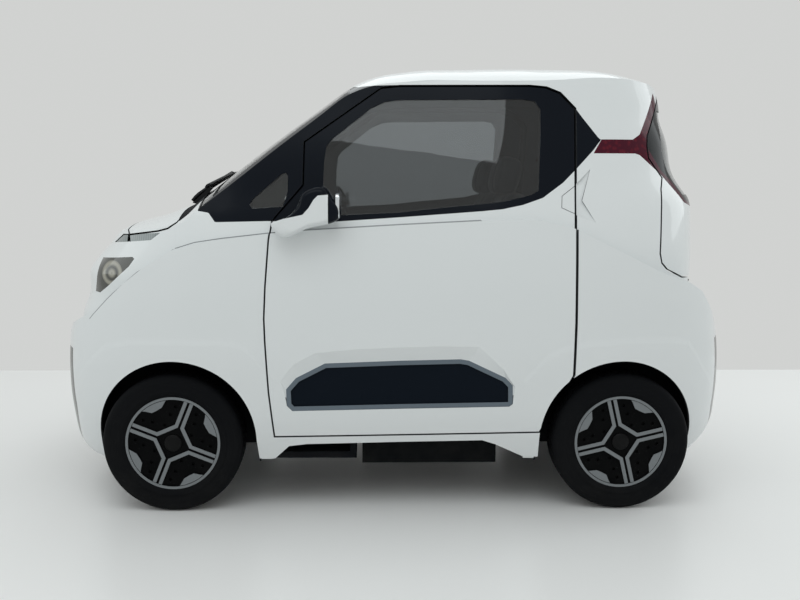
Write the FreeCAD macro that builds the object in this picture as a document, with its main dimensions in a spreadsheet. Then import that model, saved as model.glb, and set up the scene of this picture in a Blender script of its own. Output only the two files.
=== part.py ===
import FreeCAD, Part
import math
import os
import Sketcher

# Two-seat electric microcar, millimetres.
# X runs from the nose to the tail, Y to the car's right side, Z up.
# The origin is on the ground, halfway along the car and on its centre plane.

DOC = FreeCAD.newDocument("microcar")
SHEET = DOC.addObject("Spreadsheet::Sheet", "size")
PIECES = {}

SIZES = (
    ("overall_length", 2497), ("overall_width", 1526), ("overall_height", 1616),
    ("wheelbase", 1600), ("wheel_track", 1302), ("tyre_radius", 248), ("tyre_width", 145),
    ("tyre_shoulder", 30), ("rim_radius", 167), ("rim_lip", 9), ("rim_width", 126),
    ("disc_depth", 14), ("cover_thickness", 7), ("hub_radius", 52), ("hub_depth", 46),
    ("axle_radius", 24), ("axle_play", 1),
    ("arch_radius", 285), ("arch_height", 263), ("arch_inset", 12),
    ("liner_radius", 302), ("liner_wall", 5), ("liner_inner_y", 425), ("liner_height", 256),
    ("fender_wall", 14), ("liner_gap", 1), ("lower_wall", 55), ("upper_wall", 42), ("top_wall", 28), ("ledge_wall", 40),
    ("tub_power", 5), ("cage_power", 4.4), ("corner_steps", 9), ("body_levels", 14),
    ("shut_gap", 6), ("door_rear_play", 3.4), ("door_top_play", 2.2), ("glass_depth", 3), ("glass_wall", 5), ("overrun", 400),
    ("roof_half_width", 500), ("bumper_half_width", 560), ("lamp_inner_y", 300),
    ("hatch_glass_half_width", 500), ("front_split", 478), ("nose_split", 780), ("door_clear", 14),
    ("floor_height", 172), ("floor_wall", 24), ("boot_height", 588), ("firewall_x", 492), ("boot_step_x", 470),
    ("seat_floor_height", 262), ("seat_step_x", 150),
    ("jack_x", 470), ("jack_y", 672), ("jack_length", 40), ("jack_width", 40), ("jack_height", 184), ("jack_wall", 14),
    ("sill_inner_y", 640), ("kingpin_y", 595), ("kingpin_radius", 16), ("kingpin_height", 330),
    ("knuckle_wall", 34), ("knuckle_block", 70), ("beam_wall", 46), ("beam_height", 140),
    ("battery_length", 500), ("battery_width", 1120), ("battery_height", 132), ("battery_x", 120),
    ("motor_low", 278), ("motor_length", 300), ("motor_width", 420), ("motor_height", 260),
    ("seat_width", 480), ("seat_length", 500), ("seat_height", 600), ("seat_pad", 150), ("back_height", 640),
    ("back_pad", 120), ("seat_y", 295), ("seat_front_x", 160), ("seat_round", 45),
    ("dash_depth", 210), ("dash_height", 230), ("dash_top", 985), ("dash_half_width", 660),
    ("steering_radius", 180), ("steering_bevel", 6), ("steering_grip", 15), ("steering_height", 900), ("steering_x", 130),
    ("steering_rake", 62), ("column_length", 118), ("column_radius", 24), ("mirror_reach", 838), ("mirror_root", 700),
    ("inset_depth", 12), ("inset_y", 746), ("inset_frame", 16), ("inset_sunk", 5), ("facet_play", 2),
    ("handle_depth", 12), ("handle_seam", 2), ("scoop_turn", 11), ("scoop_x", 690), ("scoop_y", 695), ("cover_rise", 6),
    ("vent_radius", 6), ("front_spoke_turn", 68), ("rear_spoke_turn", 13.5), ("spoke_width", 38), ("spoke_wall", 12), ("wiper_wall", 12), ("wiper_y", 450), ("plate_hole_radius", 3), ("plate_hole_spacing", 180),
    ("plate_hole_depth", 30), ("plate_width", 500), ("plate_tall", 150), ("plate_x", 1222), ("plate_low", 295),
    ("plate_high", 420), ("tow_radius", 8), ("tow_depth", 40), ("tow_y", 380), ("tow_height", 560), ("tow_x", 1215),
)

for row, (alias, amount) in enumerate(SIZES, start=1):
    SHEET.set("A%d" % row, alias.replace("_", " "))
    SHEET.set("B%d" % row, str(amount))
    SHEET.setAlias("B%d" % row, alias)
DOC.recompute()


def size(alias):
    """A driving dimension from the sheet."""
    return float(SHEET.get(alias))


HALF_LENGTH = size("overall_length") / 2
HALF_WIDTH = size("overall_width") / 2
HEIGHT = size("overall_height")
AXLE_X = size("wheelbase") / 2
WHEEL_Y = size("wheel_track") / 2
GAP = size("shut_gap")
REACH = size("overrun")
AXLE_END_Y = WHEEL_Y + size("rim_width") / 2 - size("cover_thickness") - size("disc_depth") - size("axle_play")

# Shares along half the length and of the height, in side view.
CREASE_SHARES = (
    (-1.011, 0.337), (-0.953, 0.405), (-0.868, 0.441), (-0.730, 0.530), (-0.626, 0.580), (-0.495, 0.603),
    (-0.270, 0.622), (0.001, 0.635), (0.227, 0.644), (0.340, 0.646), (0.397, 0.644), (0.495, 0.626),
    (0.658, 0.564), (0.740, 0.533), (0.833, 0.509), (0.883, 0.486), (0.942, 0.425), (1.011, 0.347))
SPINE_SHARES = (
    (-1.041, 0.433), (-0.929, 0.545), (-0.881, 0.578), (-0.856, 0.596), (-0.831, 0.611), (-0.780, 0.635),
    (-0.749, 0.641), (-0.696, 0.653), (-0.609, 0.679), (-0.555, 0.712), (-0.372, 0.822), (-0.143, 0.951),
    (-0.098, 0.968), (-0.052, 0.980), (-0.006, 0.987), (0.086, 0.995), (0.317, 1.000), (0.457, 1.000),
    (0.597, 0.997), (0.667, 0.988), (0.729, 0.975), (0.787, 0.956), (0.823, 0.941), (0.961, 0.885))
CROWN_SHARES = (
    (-1.041, 0.019), (-0.721, 0.028), (-0.348, 0.035), (-0.160, 0.038), (0.000, 0.053), (0.320, 0.062),
    (0.641, 0.059), (0.961, 0.050))
DOOR_SHARES = (
    (-0.354, 0.168), (0.405, 0.177), (0.497, 0.309), (0.499, 0.425), (0.497, 0.626), (0.502, 0.757),
    (0.506, 0.889), (0.461, 0.924), (0.420, 0.936), (0.373, 0.939), (0.002, 0.936), (-0.051, 0.931),
    (-0.269, 0.811), (-0.271, 0.718), (-0.356, 0.641), (-0.364, 0.601), (-0.374, 0.501), (-0.378, 0.433),
    (-0.376, 0.385), (-0.368, 0.272))
DOOR_GLASS_SHARES = (
    (-0.194, 0.652), (-0.213, 0.718), (-0.211, 0.765), (-0.205, 0.801), (-0.191, 0.816), (-0.134, 0.851),
    (-0.080, 0.884), (-0.039, 0.899), (0.002, 0.903), (0.349, 0.907), (0.384, 0.903), (0.401, 0.885),
    (0.400, 0.836), (0.391, 0.708), (0.368, 0.698), (0.287, 0.683), (0.115, 0.670), (0.001, 0.660))
QUARTER_GLASS_SHARES = (
    (-0.317, 0.744), (-0.311, 0.737), (-0.312, 0.702), (-0.324, 0.671), (-0.409, 0.667), (-0.417, 0.675),
    (-0.410, 0.686), (-0.329, 0.741))
SCREEN_SHARES = (
    (-0.558, 0.666), (-0.513, 0.699), (-0.431, 0.752), (-0.348, 0.804), (-0.265, 0.853), (-0.181, 0.899),
    (-0.141, 0.926), (-0.141, 1.100), (-0.558, 1.100))
SILL_SHARES = (
    (-0.403, 0.163), (-0.397, 0.116), (-0.353, 0.116), (-0.312, 0.147), (-0.261, 0.152), (0.004, 0.157),
    (0.239, 0.160), (0.277, 0.150), (0.362, 0.118), (0.403, 0.118), (0.407, 0.172), (0.403, 0.172))
INSET_SHARES = (
    (-0.315, 0.242), (-0.317, 0.278), (-0.289, 0.303), (-0.208, 0.335), (0.002, 0.341), (0.172, 0.344),
    (0.196, 0.341), (0.300, 0.303), (0.321, 0.286), (0.322, 0.245), (0.312, 0.239), (0.002, 0.235),
    (-0.300, 0.230))
LAMP_SHARES = (
    (-0.862, 0.553), (-0.752, 0.560), (-0.746, 0.556), (-0.762, 0.539), (-0.827, 0.496), (-0.861, 0.477),
    (-0.881, 0.478), (-0.875, 0.500), (-0.868, 0.535))
STRIP_SHARES = ((-0.830, 0.587), (-0.796, 0.607), (-0.670, 0.613), (-0.698, 0.597))
BONNET_SHARES = (
    (-0.763, 0.590), (-0.769, 0.605), (-0.676, 0.615), (-0.647, 0.621), (-0.623, 0.634), (-0.618, 0.640),
    (-0.618, 0.800), (-0.850, 0.800), (-0.850, 0.720))
COWL_SHARES = (
    (-0.618, 0.638), (-0.594, 0.654), (-0.565, 0.680), (-0.558, 0.684), (-0.558, 0.900), (-0.618, 0.900))
TAIL_LAMP_SHARES = (
    (0.553, 0.790), (0.578, 0.821), (0.676, 0.822), (0.700, 0.834), (0.732, 0.880), (0.761, 0.928),
    (0.793, 0.928), (0.773, 0.905), (0.724, 0.832), (0.721, 0.809), (0.725, 0.781), (0.697, 0.788),
    (0.682, 0.791))
HATCH_SHARES = (
    (0.811, 1.100), (0.811, 0.941), (0.773, 0.905), (0.724, 0.832), (0.721, 0.809), (0.725, 0.781),
    (0.769, 0.738), (0.759, 0.713), (0.753, 0.660), (0.746, 0.571), (0.753, 0.549), (0.774, 0.533),
    (0.833, 0.513), (1.100, 0.495), (1.100, 1.100))
HATCH_GLASS_SHARES = ((0.780, 0.700), (1.100, 0.700), (1.100, 0.893), (0.780, 0.893))
FACET_SHARES = (
    (-0.315, 0.242), (-0.346, 0.313), (-0.291, 0.344), (-0.237, 0.363), (-0.118, 0.371), (0.106, 0.377),
    (0.226, 0.377), (0.290, 0.330), (0.334, 0.280), (0.322, 0.245), (0.312, 0.239), (0.002, 0.235),
    (-0.300, 0.230))
HANDLE_SHARES = ((0.499, 0.722), (0.456, 0.697), (0.454, 0.671), (0.501, 0.655))
SCOOP_SHARES = ((0.496, 0.721), (0.541, 0.755), (0.514, 0.687), (0.552, 0.639), (0.496, 0.656))
MIRROR_CASE_SHARES = (
    (-0.345, 0.640), (-0.300, 0.655), (-0.275, 0.678), (-0.268, 0.697), (-0.252, 0.708), (-0.200, 0.711),
    (-0.184, 0.692), (-0.164, 0.672), (-0.164, 0.652), (-0.200, 0.636), (-0.262, 0.624), (-0.335, 0.617))
MIRROR_ARM_SHARES = (
    (-0.352, 0.634), (-0.335, 0.641), (-0.318, 0.645), (-0.300, 0.647), (-0.282, 0.648), (-0.262, 0.648),
    (-0.246, 0.645), (-0.240, 0.637), (-0.250, 0.629), (-0.275, 0.625), (-0.305, 0.623), (-0.335, 0.624))
# Reach along the mirror, blend from arm to case, and width of the case outline.
MIRROR_ROW_SHARES = (
    (0.00, 0.00, 0.90), (0.28, 0.05, 0.90), (0.45, 0.60, 0.92), (0.62, 1.00, 0.98), (0.80, 1.00, 1.00),
    (0.94, 1.00, 0.90), (1.00, 1.00, 0.70))
# Shares of the rim radius, along a spoke and across it, for one quarter of a wheel cover.
BAND_SHARES = (
    (0.935, 0.027), (0.935, 0.102), (0.395, 0.102), (0.102, 0.395), (0.102, 0.935), (0.027, 0.935),
    (0.027, 0.359), (0.359, 0.027))
LOBE_SHARES = (
    (0.811, 0.468), (0.632, 0.494), (0.531, 0.569), (0.450, 0.643), (0.429, 0.775), (0.410, 0.841),
    (0.524, 0.776), (0.638, 0.684), (0.737, 0.576))
VENT_SHARES = ((0.300, 0.300), (0.560, 0.270), (0.270, 0.560), (0.760, 0.230), (0.230, 0.760))
WIPER_SHARES = ((-0.608, 0.676), (-0.556, 0.713), (-0.548, 0.709), (-0.590, 0.672))

# Height, half width, front and rear end, as shares of height, half width and half length.
UPPER_SHARES = (
    (0.334, 0.986, -0.958, 0.918), (0.396, 0.983, -0.957, 0.918), (0.455, 0.982, -0.956, 0.917),
    (0.475, 0.980, -0.944, 0.915), (0.530, 0.978, -0.930, 0.915), (0.550, 0.975, -0.913, 0.915),
    (0.579, 0.971, -0.878, 0.915), (0.619, 0.959, -0.849, 0.915), (0.650, 0.938, -0.825, 0.915),
    (0.673, 0.924, -0.807, 0.915), (0.686, 0.916, -0.797, 0.913), (0.709, 0.904, -0.779, 0.891),
    (0.736, 0.889, -0.759, 0.868), (0.772, 0.870, -0.730, 0.855), (0.811, 0.849, -0.701, 0.844),
    (0.866, 0.820, -0.657, 0.827), (0.919, 0.794, -0.617, 0.811), (0.990, 0.765, -0.561, 0.789),
    (1.052, 0.740, -0.513, 0.769))
LOWER_SHARES = (
    (0.100, 0.904, -0.950, 0.935), (0.115, 0.920, -0.976, 0.955), (0.134, 0.932, -0.983, 0.972),
    (0.162, 0.949, -0.988, 0.990), (0.197, 0.970, -0.994, 0.995), (0.266, 0.987, -1.000, 1.000),
    (0.344, 1.000, -0.997, 0.996), (0.402, 1.000, -0.989, 0.987), (0.464, 0.999, -0.976, 0.978),
    (0.557, 0.991, -0.953, 0.961), (0.656, 0.975, -0.921, 0.937))


def place(share):
    """A side-view share pair as a point on the centre plane."""
    return FreeCAD.Vector(share[0] * HALF_LENGTH, 0, share[1] * HEIGHT)


def read_off(shares, where):
    """The second share at a place along the first, straight between rows."""
    if where <= shares[0][0]:
        return shares[0][1]
    for low, high in zip(shares, shares[1:]):
        if where <= high[0]:
            part = (where - low[0]) / (high[0] - low[0])
            return low[1] + (high[1] - low[1]) * part
    return shares[-1][1]


def outline(shares, margin=0):
    """A flat side-view face, grown or shrunk by the margin."""
    points = [place(share) for share in shares]
    face = Part.Face(Part.makePolygon(points + points[:1]))
    if margin:
        face = face.makeOffset2D(margin, 2)
    return face


def prism(shares, low, high, margin=0):
    """A side-view outline pushed across the car from low to high."""
    face = outline(shares, margin)
    face.translate(FreeCAD.Vector(0, low, 0))
    return face.extrude(FreeCAD.Vector(0, high - low, 0))


def block(low, high):
    """A box between two corners."""
    extent = [b - a for a, b in zip(low, high)]
    return Part.makeBox(*extent, FreeCAD.Vector(*low))


def rod(start, end, radius):
    """A round bar between two points."""
    path = FreeCAD.Vector(*end) - FreeCAD.Vector(*start)
    return Part.makeCylinder(radius, path.Length, FreeCAD.Vector(*start), path)


def mirrored(shape):
    """The same shape on the car's other side."""
    return shape.mirror(FreeCAD.Vector(0, 0, 0), FreeCAD.Vector(0, 1, 0))


def largest(shape):
    """The largest solid of a shape, without slivers."""
    return max(shape.Solids, key=lambda solid: solid.Volume)


def add(label, shape):
    """A sub-part from a finished shape."""
    item = DOC.addObject("Part::Feature", label)
    item.Label = label
    item.Shape = shape
    PIECES[label] = item
    return item


def ring(row, inset, power):
    """One closed plan section of the body: a superellipse quarter for each corner."""
    height_share, width_share, front_share, rear_share = row
    width = width_share * HALF_WIDTH - inset
    steps = int(size("corner_steps"))
    points = []
    for end in (front_share * HALF_LENGTH + inset, rear_share * HALF_LENGTH - inset):
        quarter = []
        for step in range(steps + 1):
            turn = math.pi / 2 * step / steps
            along = max(math.cos(turn), 0) ** (2 / power)
            quarter.append((along * end, math.sin(turn) ** (2 / power) * width))
        points.append(quarter)
    half = points[0] + points[1][-2::-1]
    whole = half + [(along, -across) for along, across in half[-2:0:-1]]
    return [FreeCAD.Vector(along, across, height_share * HEIGHT) for along, across in whole]


def slope_at(rows, place, column):
    """How fast a column changes with height at a row, from its neighbours."""
    low = rows[max(place - 1, 0)]
    high = rows[min(place + 1, len(rows) - 1)]
    return (high[column] - low[column]) / (high[0] - low[0])


def even_rows(rows):
    """The rows at even heights, on cubics through the given ones, so that a loft through them runs smoothly."""
    levels = size("body_levels")
    even = []
    for level in range(int(levels) + 1):
        height = rows[0][0] + (rows[-1][0] - rows[0][0]) * level / levels
        place = max(index for index, row in enumerate(rows[:-1]) if row[0] <= height)
        low = rows[place]
        high = rows[place + 1]
        span = high[0] - low[0]
        part = (height - low[0]) / span
        values = [height]
        for column in range(1, len(low)):
            start = (1 + 2 * part) * (1 - part) ** 2 * low[column]
            end = part ** 2 * (3 - 2 * part) * high[column]
            rise = part * (1 - part) ** 2 * slope_at(rows, place, column)
            fall = part ** 2 * (part - 1) * slope_at(rows, place + 1, column)
            values.append(start + end + (rise + fall) * span)
        even.append(values)
    return even


def stacked(rows, inset, power):
    """A solid through plan sections at rising heights."""
    wires = []
    for row in even_rows(rows):
        points = ring(row, inset, power)
        curve = Part.BSplineCurve()
        knots = [step / len(points) for step in range(len(points) + 1)]
        curve.interpolate(Points=points, PeriodicFlag=True, Parameters=knots)
        wires.append(Part.Wire(curve.toShape()))
    return Part.makeLoft(wires, True, False)


def top_height(along, across):
    """Height of the bonnet, screen and roof surface."""
    share = along / HALF_LENGTH
    reach = abs(across) / HALF_WIDTH
    crown = read_off(CROWN_SHARES, share) * (0.76 * reach ** 2 + 1.74 * reach ** 6)
    return (read_off(SPINE_SHARES, share) - crown) * HEIGHT


def under_top(inset):
    """Everything below the top surface lowered by the inset."""
    along_shares = (-1.04, -0.96, -0.88, -0.83, -0.78, -0.75, -0.70, -0.65, -0.61, -0.58, -0.52, -0.44,
                    -0.36, -0.28, -0.20, -0.16, -0.12, -0.08, -0.04, 0.00, 0.08, 0.16, 0.32, 0.48, 0.60,
                    0.68, 0.745, 0.80, 0.865, 0.96)
    across_shares = (-1.04, -0.92, -0.81, -0.73, -0.63, -0.50, -0.33, -0.13, 0)
    across_shares = across_shares + tuple(-share for share in across_shares[-2::-1])
    grid = []
    for along in along_shares:
        line = []
        for across in across_shares:
            spot = (along * HALF_LENGTH, across * HALF_WIDTH)
            line.append(FreeCAD.Vector(*spot, top_height(*spot) - inset))
        grid.append(line)
    surface = Part.BSplineSurface()
    surface.interpolate(grid)
    return surface.toShape().extrude(FreeCAD.Vector(0, 0, -HEIGHT))


def below_crease(inset):
    """Everything under the shoulder crease, lowered by the inset."""
    crease = [place(share) - FreeCAD.Vector(0, 0, inset) for share in CREASE_SHARES]
    corners = (FreeCAD.Vector(-HALF_LENGTH - REACH, 0, crease[0].z), FreeCAD.Vector(-HALF_LENGTH - REACH, 0, 0),
               FreeCAD.Vector(HALF_LENGTH + REACH, 0, 0), FreeCAD.Vector(HALF_LENGTH + REACH, 0, crease[-1].z))
    face = Part.Face(Part.makePolygon([corners[1], corners[0]] + crease + [corners[3], corners[2], corners[1]]))
    face.translate(FreeCAD.Vector(0, -HALF_WIDTH - REACH, 0))
    return face.extrude(FreeCAD.Vector(0, 2 * (HALF_WIDTH + REACH), 0))


def tub(inset):
    """The wide lower body as a closed volume, shrunk by the inset."""
    return stacked(LOWER_SHARES, inset, size("tub_power"))


def upper(inset):
    """The narrower upper body as a closed volume, shrunk by the inset."""
    return stacked(UPPER_SHARES, inset, size("cage_power"))


def cage(upper_inset, top_inset):
    """The closed volume of the nose, cabin and tail, shrunk by the insets."""
    return upper(upper_inset).common(under_top(top_inset))


def arch(x, radius, height, low, high):
    """A wheel arch cutter from low to high across the car, open downwards."""
    drum = Part.makeCylinder(radius, high - low, FreeCAD.Vector(x, low, height), FreeCAD.Vector(0, 1, 0))
    return drum.fuse(block((x - radius, low, -REACH), (x + radius, high, height)))


SIDE_LOW = -HALF_WIDTH - REACH
SIDE_HIGH = HALF_WIDTH + REACH
ARCH_X = AXLE_X - size("arch_inset")
ARCHES = Part.makeCompound([arch(x, size("arch_radius"), size("arch_height"), SIDE_LOW, SIDE_HIGH)
                            for x in (-ARCH_X, ARCH_X)])
LEFT = block((-HALF_LENGTH - REACH, SIDE_LOW, -REACH), (HALF_LENGTH + REACH, 0, HEIGHT + REACH))
UNDER_CREASE = below_crease(0)
TUB_OUT = tub(0)
TUB_IN = tub(size("lower_wall"))
CAGE_OUT = cage(0, 0)
CAGE_IN = cage(size("upper_wall"), size("top_wall"))
TUB = TUB_OUT.common(UNDER_CREASE).cut(TUB_IN.common(below_crease(size("ledge_wall"))))
SKIN_IN = tub(size("fender_wall"))
WELLS = Part.makeCompound([arch(x, size("liner_radius") + size("liner_wall") + size("liner_gap"),
                                size("liner_height"), SIDE_LOW, SIDE_HIGH) for x in (-AXLE_X, AXLE_X)])
TUB = TUB.cut(CAGE_IN).cut(ARCHES).cut(WELLS.common(SKIN_IN))
CAGE = CAGE_OUT.cut(CAGE_IN).cut(UNDER_CREASE)
GLASS_INSET = size("glass_depth") + size("glass_wall")
GLAZING = cage(size("glass_depth"), size("glass_depth")).cut(cage(GLASS_INSET, GLASS_INSET))
LEFT_TUB = TUB.common(LEFT)
LEFT_CAGE = CAGE.common(LEFT)
LEFT_GLAZING = GLAZING.common(LEFT)


def across(shares, margin=0):
    """An outline prism through the whole car."""
    return prism(shares, SIDE_LOW, SIDE_HIGH, margin)


def ahead(x, z_low=-REACH):
    """Everything in front of a place along the car."""
    return block((-HALF_LENGTH - REACH, SIDE_LOW, z_low), (x, SIDE_HIGH, HEIGHT + REACH))


def middle(half_width):
    """Everything within a half width of the centre plane."""
    return block((-HALF_LENGTH - REACH, -half_width, -REACH), (HALF_LENGTH + REACH, half_width, HEIGHT + REACH))


def lamp_zone(shares):
    """A lamp outline on the left, short of the centre plane."""
    return prism(shares, SIDE_LOW, -size("lamp_inner_y"))


def build_doors():
    """Both doors: shell with its window cut, glass, inset panel, handle and mirror."""
    zone = across(DOOR_SHARES, -GAP)
    ahead_zone = zone.copy()
    ahead_zone.translate(FreeCAD.Vector(-size("door_rear_play"), 0, -size("door_top_play")))
    zone = zone.common(ahead_zone)
    window = prism(DOOR_GLASS_SHARES, SIDE_LOW, 0)
    frame = LEFT_CAGE.common(zone).cut(window)
    deep = upper(size("handle_depth"))
    pocket = frame.common(prism(HANDLE_SHARES, SIDE_LOW, 0)).cut(deep)
    handle = pocket.common(prism(HANDLE_SHARES, SIDE_LOW, 0, -size("handle_seam")))
    frame = frame.cut(pocket)
    panel, plate = door_panel(LEFT_TUB.common(zone))
    mirror = mirror_case().cut(CAGE_OUT).cut(TUB_OUT)
    glass = LEFT_GLAZING.common(window)
    shapes = {"door_shell": frame.fuse(panel), "door_glass": glass, "door_inset": plate,
              "door_handle": handle, "door_mirror": mirror}
    for name, shape in shapes.items():
        shape = largest(shape)
        add(name + "_left", shape)
        add(name + "_right", mirrored(shape))


def door_panel(panel):
    """The lower door with a facet sloping in to a framed inset, and that inset."""
    face_y = -size("inset_y")
    depth = size("inset_depth")
    wires = []
    for shares, across_y in ((FACET_SHARES, -HALF_WIDTH - size("facet_play")), (INSET_SHARES, face_y)):
        points = [place(share) + FreeCAD.Vector(0, across_y, 0) for share in shares]
        wires.append(Part.makePolygon(points + points[:1]))
    facet = Part.makeLoft(wires, True, True)
    seat = prism(INSET_SHARES, face_y, face_y + depth)
    sunk = prism(INSET_SHARES, face_y, face_y + size("inset_sunk"), -size("inset_frame"))
    panel = panel.cut(facet).cut(seat).cut(prism(INSET_SHARES, SIDE_LOW, face_y))
    return panel, seat.cut(sunk)


def mirror_case():
    """A door mirror lofted from its arm to its rounded outer end."""
    count = len(MIRROR_CASE_SHARES)
    centre = FreeCAD.Vector(0, 0, 0)
    for share in MIRROR_CASE_SHARES:
        centre = centre + place(share) * (1 / count)
    wires = []
    for reach, blend, swell in MIRROR_ROW_SHARES:
        across_y = -size("mirror_root") - (size("mirror_reach") - size("mirror_root")) * reach
        points = []
        for arm, case in zip(MIRROR_ARM_SHARES, MIRROR_CASE_SHARES):
            far = centre + (place(case) - centre) * swell
            points.append(place(arm) * (1 - blend) + far * blend + FreeCAD.Vector(0, across_y, 0))
        curve = Part.BSplineCurve()
        curve.interpolate(Points=points, PeriodicFlag=True)
        wires.append(Part.Wire(curve.toShape()))
    return Part.makeLoft(wires, True, False)


def build_sides():
    """Body sides: quarter, pillars and the rail over the door."""
    opening = across(DOOR_SHARES)
    hatch = across(HATCH_SHARES)
    pillars = LEFT_CAGE.cut(opening).cut(across(SCREEN_SHARES)).cut(hatch)
    pillars = pillars.cut(across(COWL_SHARES)).cut(across(BONNET_SHARES))
    pillars = pillars.cut(ahead(-size("nose_split"))).cut(middle(size("roof_half_width")))
    lamp = largest(pillars.common(across(TAIL_LAMP_SHARES)))
    pillars = pillars.cut(lamp).cut(across(QUARTER_GLASS_SHARES))
    hold = FreeCAD.Vector(size("scoop_x"), -size("scoop_y"), 0)
    turned = upper(0)
    turned.rotate(hold, FreeCAD.Vector(0, 0, 1), -size("scoop_turn"))
    pillars = pillars.cut(prism(SCOOP_SHARES, SIDE_LOW, -size("roof_half_width")).cut(turned))
    flank = LEFT_TUB.cut(opening).cut(hatch).cut(across(SILL_SHARES)).cut(ahead(-size("front_split")))
    bumper_cut = block((ARCH_X, -size("bumper_half_width"), -REACH), (HALF_LENGTH + REACH, 0, HEIGHT / 2))
    side = largest(pillars.cut(bumper_cut).fuse(flank.cut(bumper_cut)))
    add("body_side_left", side)
    add("body_side_right", mirrored(side))
    quarter = largest(LEFT_GLAZING.common(prism(QUARTER_GLASS_SHARES, SIDE_LOW, 0)))
    screen = largest(GLAZING.common(across(SCREEN_SHARES)))
    add("fixed_glass", Part.makeCompound([screen, quarter, mirrored(quarter)]))
    add("tail_lamps", Part.makeCompound([lamp, mirrored(lamp)]))
    sill = TUB_OUT.common(prism(SILL_SHARES, SIDE_LOW, -size("sill_inner_y")))
    sill = largest(sill.cut(ARCHES))
    for sign in (-1, 1):
        x = sign * size("jack_x")
        low = (x - size("jack_length") / 2, -size("jack_y") - size("jack_width") / 2, size("jack_height"))
        high = (x + size("jack_length") / 2, -size("jack_y") + size("jack_width") / 2,
                size("jack_height") + size("jack_wall"))
        sill = sill.fuse(block(low, high))
    sill = largest(sill.removeSplitter())
    add("sills", Part.makeCompound([sill, mirrored(sill)]))


def build_front():
    """Fenders, bumper, nose, lamps, cowl and screen."""
    skirt = TUB.common(ahead(-size("front_split"))).cut(across(SILL_SHARES))
    bumper_zone = block((-HALF_LENGTH - REACH, -size("bumper_half_width"), -REACH),
                        (-ARCH_X, size("bumper_half_width"), HEIGHT))
    fender = largest(skirt.cut(bumper_zone).common(LEFT))
    add("front_fenders", Part.makeCompound([fender, mirrored(fender)]))
    bumper = largest(skirt.common(bumper_zone)).cut(plate_recess(-1, size("plate_low")))
    eye = rod((-HALF_LENGTH, size("tow_y"), size("tow_height")), (-size("tow_x"), size("tow_y"), size("tow_height")),
              2.5 * size("tow_radius"))
    bore_end = -size("tow_x") + size("tow_depth")
    bore = rod((-HALF_LENGTH, size("tow_y"), size("tow_height")), (bore_end, size("tow_y"), size("tow_height")),
               size("tow_radius"))
    add("front_bumper", largest(bumper.cut(eye).cut(bore)))
    nose = CAGE.common(ahead(-size("nose_split")))
    nose = nose.cut(across(BONNET_SHARES))
    lamps = []
    for shares in (LAMP_SHARES, STRIP_SHARES):
        zone = lamp_zone(shares)
        lamp = largest(nose.common(zone))
        lamps = lamps + [lamp, mirrored(lamp)]
        nose = nose.cut(zone).cut(mirrored(zone))
    add("nose_panel", largest(nose))
    add("headlamps", Part.makeCompound(lamps))
    add("bonnet", largest(CAGE.common(across(BONNET_SHARES, -GAP))))
    add("cowl_panel", largest(CAGE.common(across(COWL_SHARES))))
    wiper = prism(WIPER_SHARES, -size("wiper_y") - size("wiper_wall"), -size("wiper_y"))
    far = wiper.copy()
    far.translate(FreeCAD.Vector(0, size("wiper_y"), 0))
    add("wipers", Part.makeCompound([largest(wiper.cut(CAGE_OUT)), largest(far.cut(CAGE_OUT))]))


def plate_recess(end, low):
    """A flat recess with two bolt holes for a number plate; end is -1 at the nose and 1 at the tail."""
    half = size("plate_width") / 2
    face = end * size("plate_x")
    far = end * (HALF_LENGTH + REACH)
    recess = block((min(face, far), -half, low), (max(face, far), half, low + size("plate_tall")))
    height = low + size("plate_tall") / 2
    for sign in (-1, 1):
        spot = sign * size("plate_hole_spacing") / 2
        inner = face - end * size("plate_hole_depth")
        recess = recess.fuse(rod((inner, spot, height), (far, spot, height), size("plate_hole_radius")))
    return recess


def build_rear():
    """Roof, hatch with its glass and lamps, and the rear bumper."""
    roof = CAGE.common(middle(size("roof_half_width"))).cut(across(SCREEN_SHARES)).cut(across(HATCH_SHARES))
    add("roof_panel", largest(roof))
    zone = across(HATCH_SHARES, -GAP)
    hatch = CAGE.common(zone)
    window = prism(HATCH_GLASS_SHARES, -size("hatch_glass_half_width"), size("hatch_glass_half_width"))
    glass = GLAZING.common(window).common(zone)
    add("hatch_shell", largest(hatch.cut(window).fuse(TUB.common(zone))))
    add("hatch_glass", largest(glass))
    bumper_zone = block((ARCH_X, -size("bumper_half_width"), -REACH),
                        (HALF_LENGTH + REACH, size("bumper_half_width"), HEIGHT / 2))
    skirt = TUB.common(bumper_zone).cut(across(HATCH_SHARES))
    apron = CAGE.common(bumper_zone).cut(across(HATCH_SHARES))
    add("rear_bumper", largest(skirt.fuse(apron).cut(plate_recess(1, size("plate_high")))))


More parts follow.
